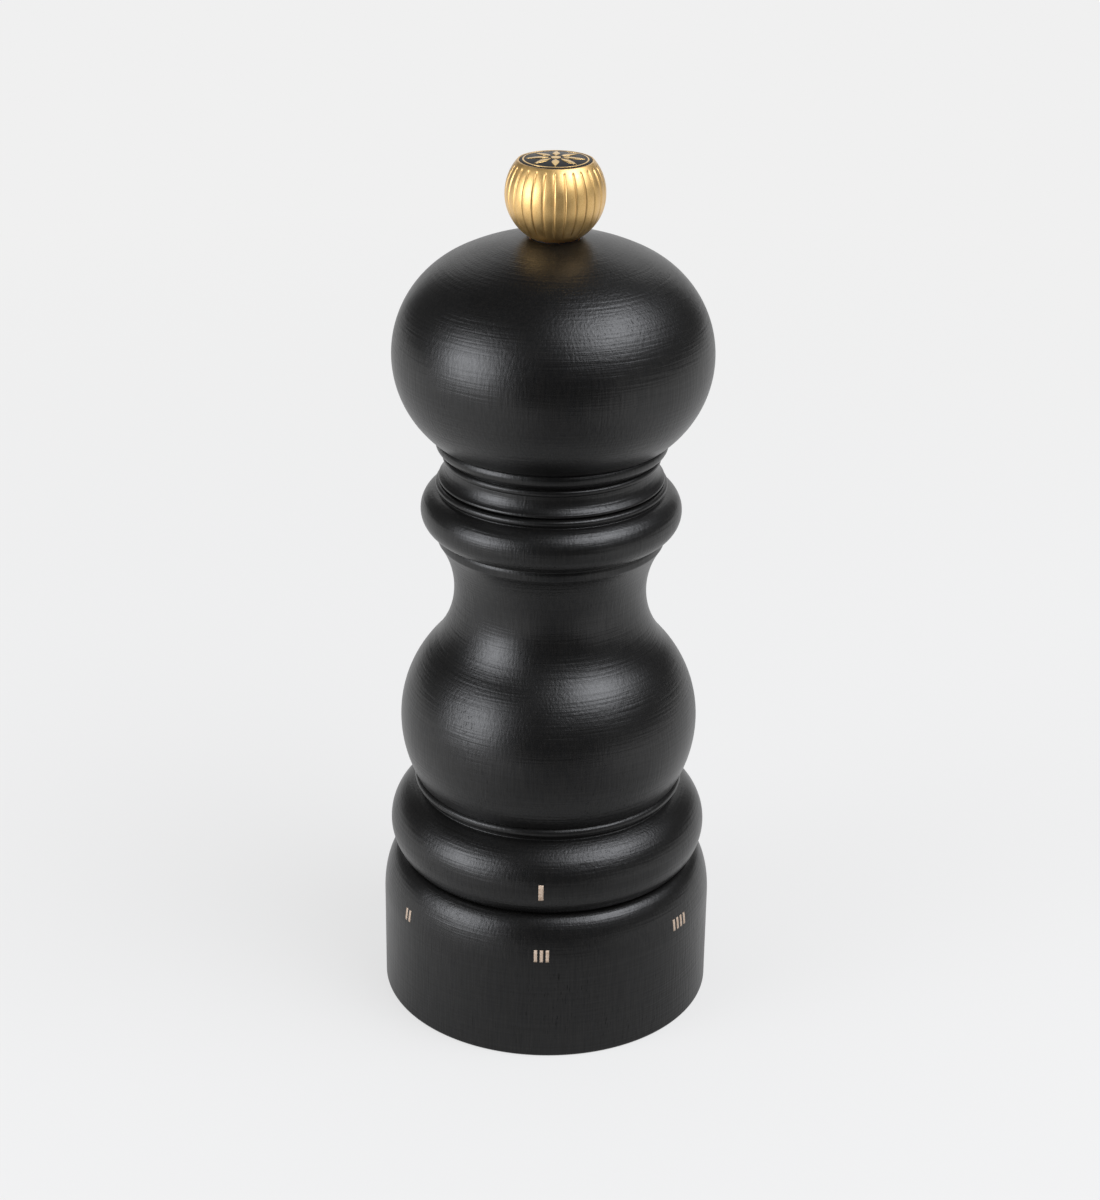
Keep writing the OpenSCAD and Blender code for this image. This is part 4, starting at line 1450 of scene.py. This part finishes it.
@dataclass
class Studio:
    """The pale floor, the backdrop, the lamps, the black flags and the camera.

    Attributes:
        pale: sRGB hex colour of the floor and the background.
        floor_r: Radius of the floor in metres.
        focal_px: Focal length in pixels of a 1100 x 1200 picture.
        eye_back: The camera's distance from the axis in metres.
        eye_up: The camera's height in metres.
        pitch_down: Angle of the view below the horizon, in degrees.
        roll: Turn of the camera about its view, in degrees.
        swing: Turn of the camera round the axis, in degrees.
    """

    pale: str = "#f0f0f0"
    floor_r: float = 4.0
    focal_px: float = 2513.0
    eye_back: float = 0.4664
    eye_up: float = 0.2982
    pitch_down: float = 24.32
    roll: float = 0.763
    swing: float = 1.3

    def camera(self) -> None:
        """Set up the camera."""
        picture_h, sensor = 1200, 36.0
        lens = bpy.data.cameras.new("camera")
        lens.sensor_fit = "VERTICAL"
        lens.sensor_height = sensor
        lens.lens = self.focal_px * sensor / picture_h
        lens.clip_start = 0.01
        eye = placed("camera", lens)
        turn = Matrix.Rotation(math.radians(self.swing), 4, "Z")
        place = Matrix.Translation((0, -self.eye_back, self.eye_up))
        tilt = Matrix.Rotation(math.radians(90 - self.pitch_down), 4, "X")
        lean = Matrix.Rotation(math.radians(self.roll), 4, "Z")
        eye.matrix_world = turn @ place @ tilt @ lean
        bpy.context.scene.camera = eye

    @staticmethod
    def seen(tree: bpy.types.NodeTree, gloss: Field | float = 1.0) -> Field:
        """Give 1 for rays that look at the background straight or through glass, and a share for a gloss.

        Args:
            tree: The node tree.
            gloss: The share for a gloss.

        Returns:
            The strength at which the background shows.
        """
        path = add_node(tree, "ShaderNodeLightPath")
        shown = path["Is Camera Ray"] + path["Is Glossy Ray"] * gloss + path["Is Transmission Ray"]
        return reckoned("MINIMUM", shown, 1.0)

    @staticmethod
    def stand(name: str, finish: str, points: list, faces: list) -> tuple[bpy.types.Object, bpy.types.NodeTree]:
        """Put up a piece of the studio with an empty material.

        Args:
            name: The piece's name.
            finish: The material's name.
            points: The mesh's points in metres.
            faces: The mesh's faces.

        Returns:
            The piece and the material's tree.
        """
        mesh = bpy.data.meshes.new(name)
        mesh.from_pydata(points, [], faces)
        piece = placed(name, mesh)
        material = bpy.data.materials.new(finish)
        material.use_nodes = True
        material.node_tree.nodes.clear()
        mesh.materials.append(material)
        return piece, material.node_tree

    def floor(self) -> None:
        """Lay the pale floor, which keeps the mill's shadow."""
        sides = 96
        angles = [math.tau * i / sides for i in range(sides)]
        rim = [(self.floor_r * math.cos(a), self.floor_r * math.sin(a), 0) for a in angles]
        tree = self.stand("floor", "matt_white_paper", rim, [tuple(range(sides))])[1]
        colour = linear(self.pale)
        place = add_node(tree, "ShaderNodeTexCoord")["Object"]
        spot = add_node(tree, "ShaderNodeSeparateXYZ", {0: place})
        # The lamps light the near floor more, so the far floor glows more
        far = add_node(tree, "ShaderNodeVectorMath", {0: place}, operation="LENGTH")["Value"]
        glow = ramped(far, 0.0, 1.1, 0.75, 0.86)
        # The mill stands in the shade of the camera, so its front mirrors a darker stretch of floor
        middle, lit = 0.03, 0.9
        aside = ramped(abs(spot[0] - middle), 0.05, 0.15)
        front = ramped(spot[1], -0.13, -0.04, 0.10, 0.45) + ramped(spot[1], -0.02, 0.02, 0.0, 0.5)
        gloss = front * (1.0 - aside) + aside * lit
        light = add_node(tree, "ShaderNodeEmission", {"Color": colour, "Strength": self.seen(tree, gloss) * glow})
        # Further out, where a lamp would burn a white patch, the paper gives that light off by itself
        share = 0.19
        shade = (*(c * share for c in colour[:3]), 1.0)
        cloth = add_node(tree, "ShaderNodeBsdfDiffuse", {"Color": shade})
        even = add_node(tree, "ShaderNodeEmission", {"Color": colour, "Strength": 1.0 - glow})
        paper = add_node(tree, "ShaderNodeMixShader", {0: ramped(far, 0.25, 0.6), 1: cloth, 2: even})
        both = add_node(tree, "ShaderNodeAddShader", {0: paper, 1: light})
        add_node(tree, "ShaderNodeOutputMaterial", {"Surface": both})

    def flag(self, name: str, azimuths: tuple[float, float], elevations: tuple[float, float], distance: float,
             grey: float) -> None:
        """Hang a dark flag that only glossy surfaces see.

        Args:
            name: The flag's name.
            azimuths: Its two sides, in degrees from the camera's side.
            elevations: Its lower and upper edges, in degrees.
            distance: Its distance from the mill in metres.
            grey: How much light it sends back.
        """
        facet = 6        # degrees
        across, tall = (max(2, int((high - low) / facet)) for low, high in (azimuths, elevations))
        grid = []
        for j in range(tall + 1):
            el = elevations[0] + (elevations[1] - elevations[0]) * j / tall
            for i in range(across + 1):
                az = azimuths[0] + (azimuths[1] - azimuths[0]) * i / across
                grid.append(towards(az, el) * distance + Vector((0, 0, 0.1)))
        row = across + 1
        faces = [(j * row + i, j * row + i + 1, (j + 1) * row + i + 1, (j + 1) * row + i)
                 for j in range(tall) for i in range(across)]
        piece, tree = self.stand(name, name + "_felt", grid, faces)
        felt = add_node(tree, "ShaderNodeEmission", {"Color": (grey, grey, grey, 1), "Strength": 1.0})
        add_node(tree, "ShaderNodeOutputMaterial", {"Surface": felt})
        piece.visible_camera = piece.visible_diffuse = piece.visible_transmission = piece.visible_shadow = False

    def world(self) -> None:
        """Fill the room with an even pale light, softer where it falls on matt surfaces."""
        matt_share = 0.62
        world = bpy.context.scene.world = bpy.data.worlds.new("studio")
        world.use_nodes = True
        tree = world.node_tree
        tree.nodes.clear()
        strength = reckoned("MAXIMUM", self.seen(tree), matt_share)
        sky = add_node(tree, "ShaderNodeBackground", {"Color": linear(self.pale), "Strength": strength})
        add_node(tree, "ShaderNodeOutputWorld", {"Surface": sky})

    def set_up(self) -> None:
        """Set up the whole studio."""
        self.camera()
        self.world()
        self.floor()
        Softbox("left_softbox", azimuth=-60, elevation=13.5, width=0.90, height=0.92, radiance=8.6).hang()
        Softbox("right_softbox", azimuth=62, elevation=49.5, width=1.20, height=0.80, radiance=9.0).hang()
        self.flag("sky_flag", azimuths=(-150, 150), elevations=(-4, 44), distance=2.2, grey=0.10)
        self.flag("ceiling_flag", azimuths=(-180, 180), elevations=(42, 89.5), distance=2.4, grey=0.06)
        self.flag("lens_flag", azimuths=(-26, 42), elevations=(-17, 34), distance=0.42, grey=0.02)
        bpy.context.scene.view_settings.view_transform = "Standard"


# ---------------------------------------------------------------- main

def main() -> None:
    """Set up the studio and dress the mill, piece by piece."""
    logging.basicConfig(level=logging.INFO, format="%(message)s")
    Studio().set_up()
    shared = (Levels.from_frame(), Lathe(), Pad())
    for assembly in (GrindRing(*shared), Barrel(*shared), Head(*shared), Knob(*shared), Mechanism()):
        assembly.dress()


if __name__ == "__main__":
    main()
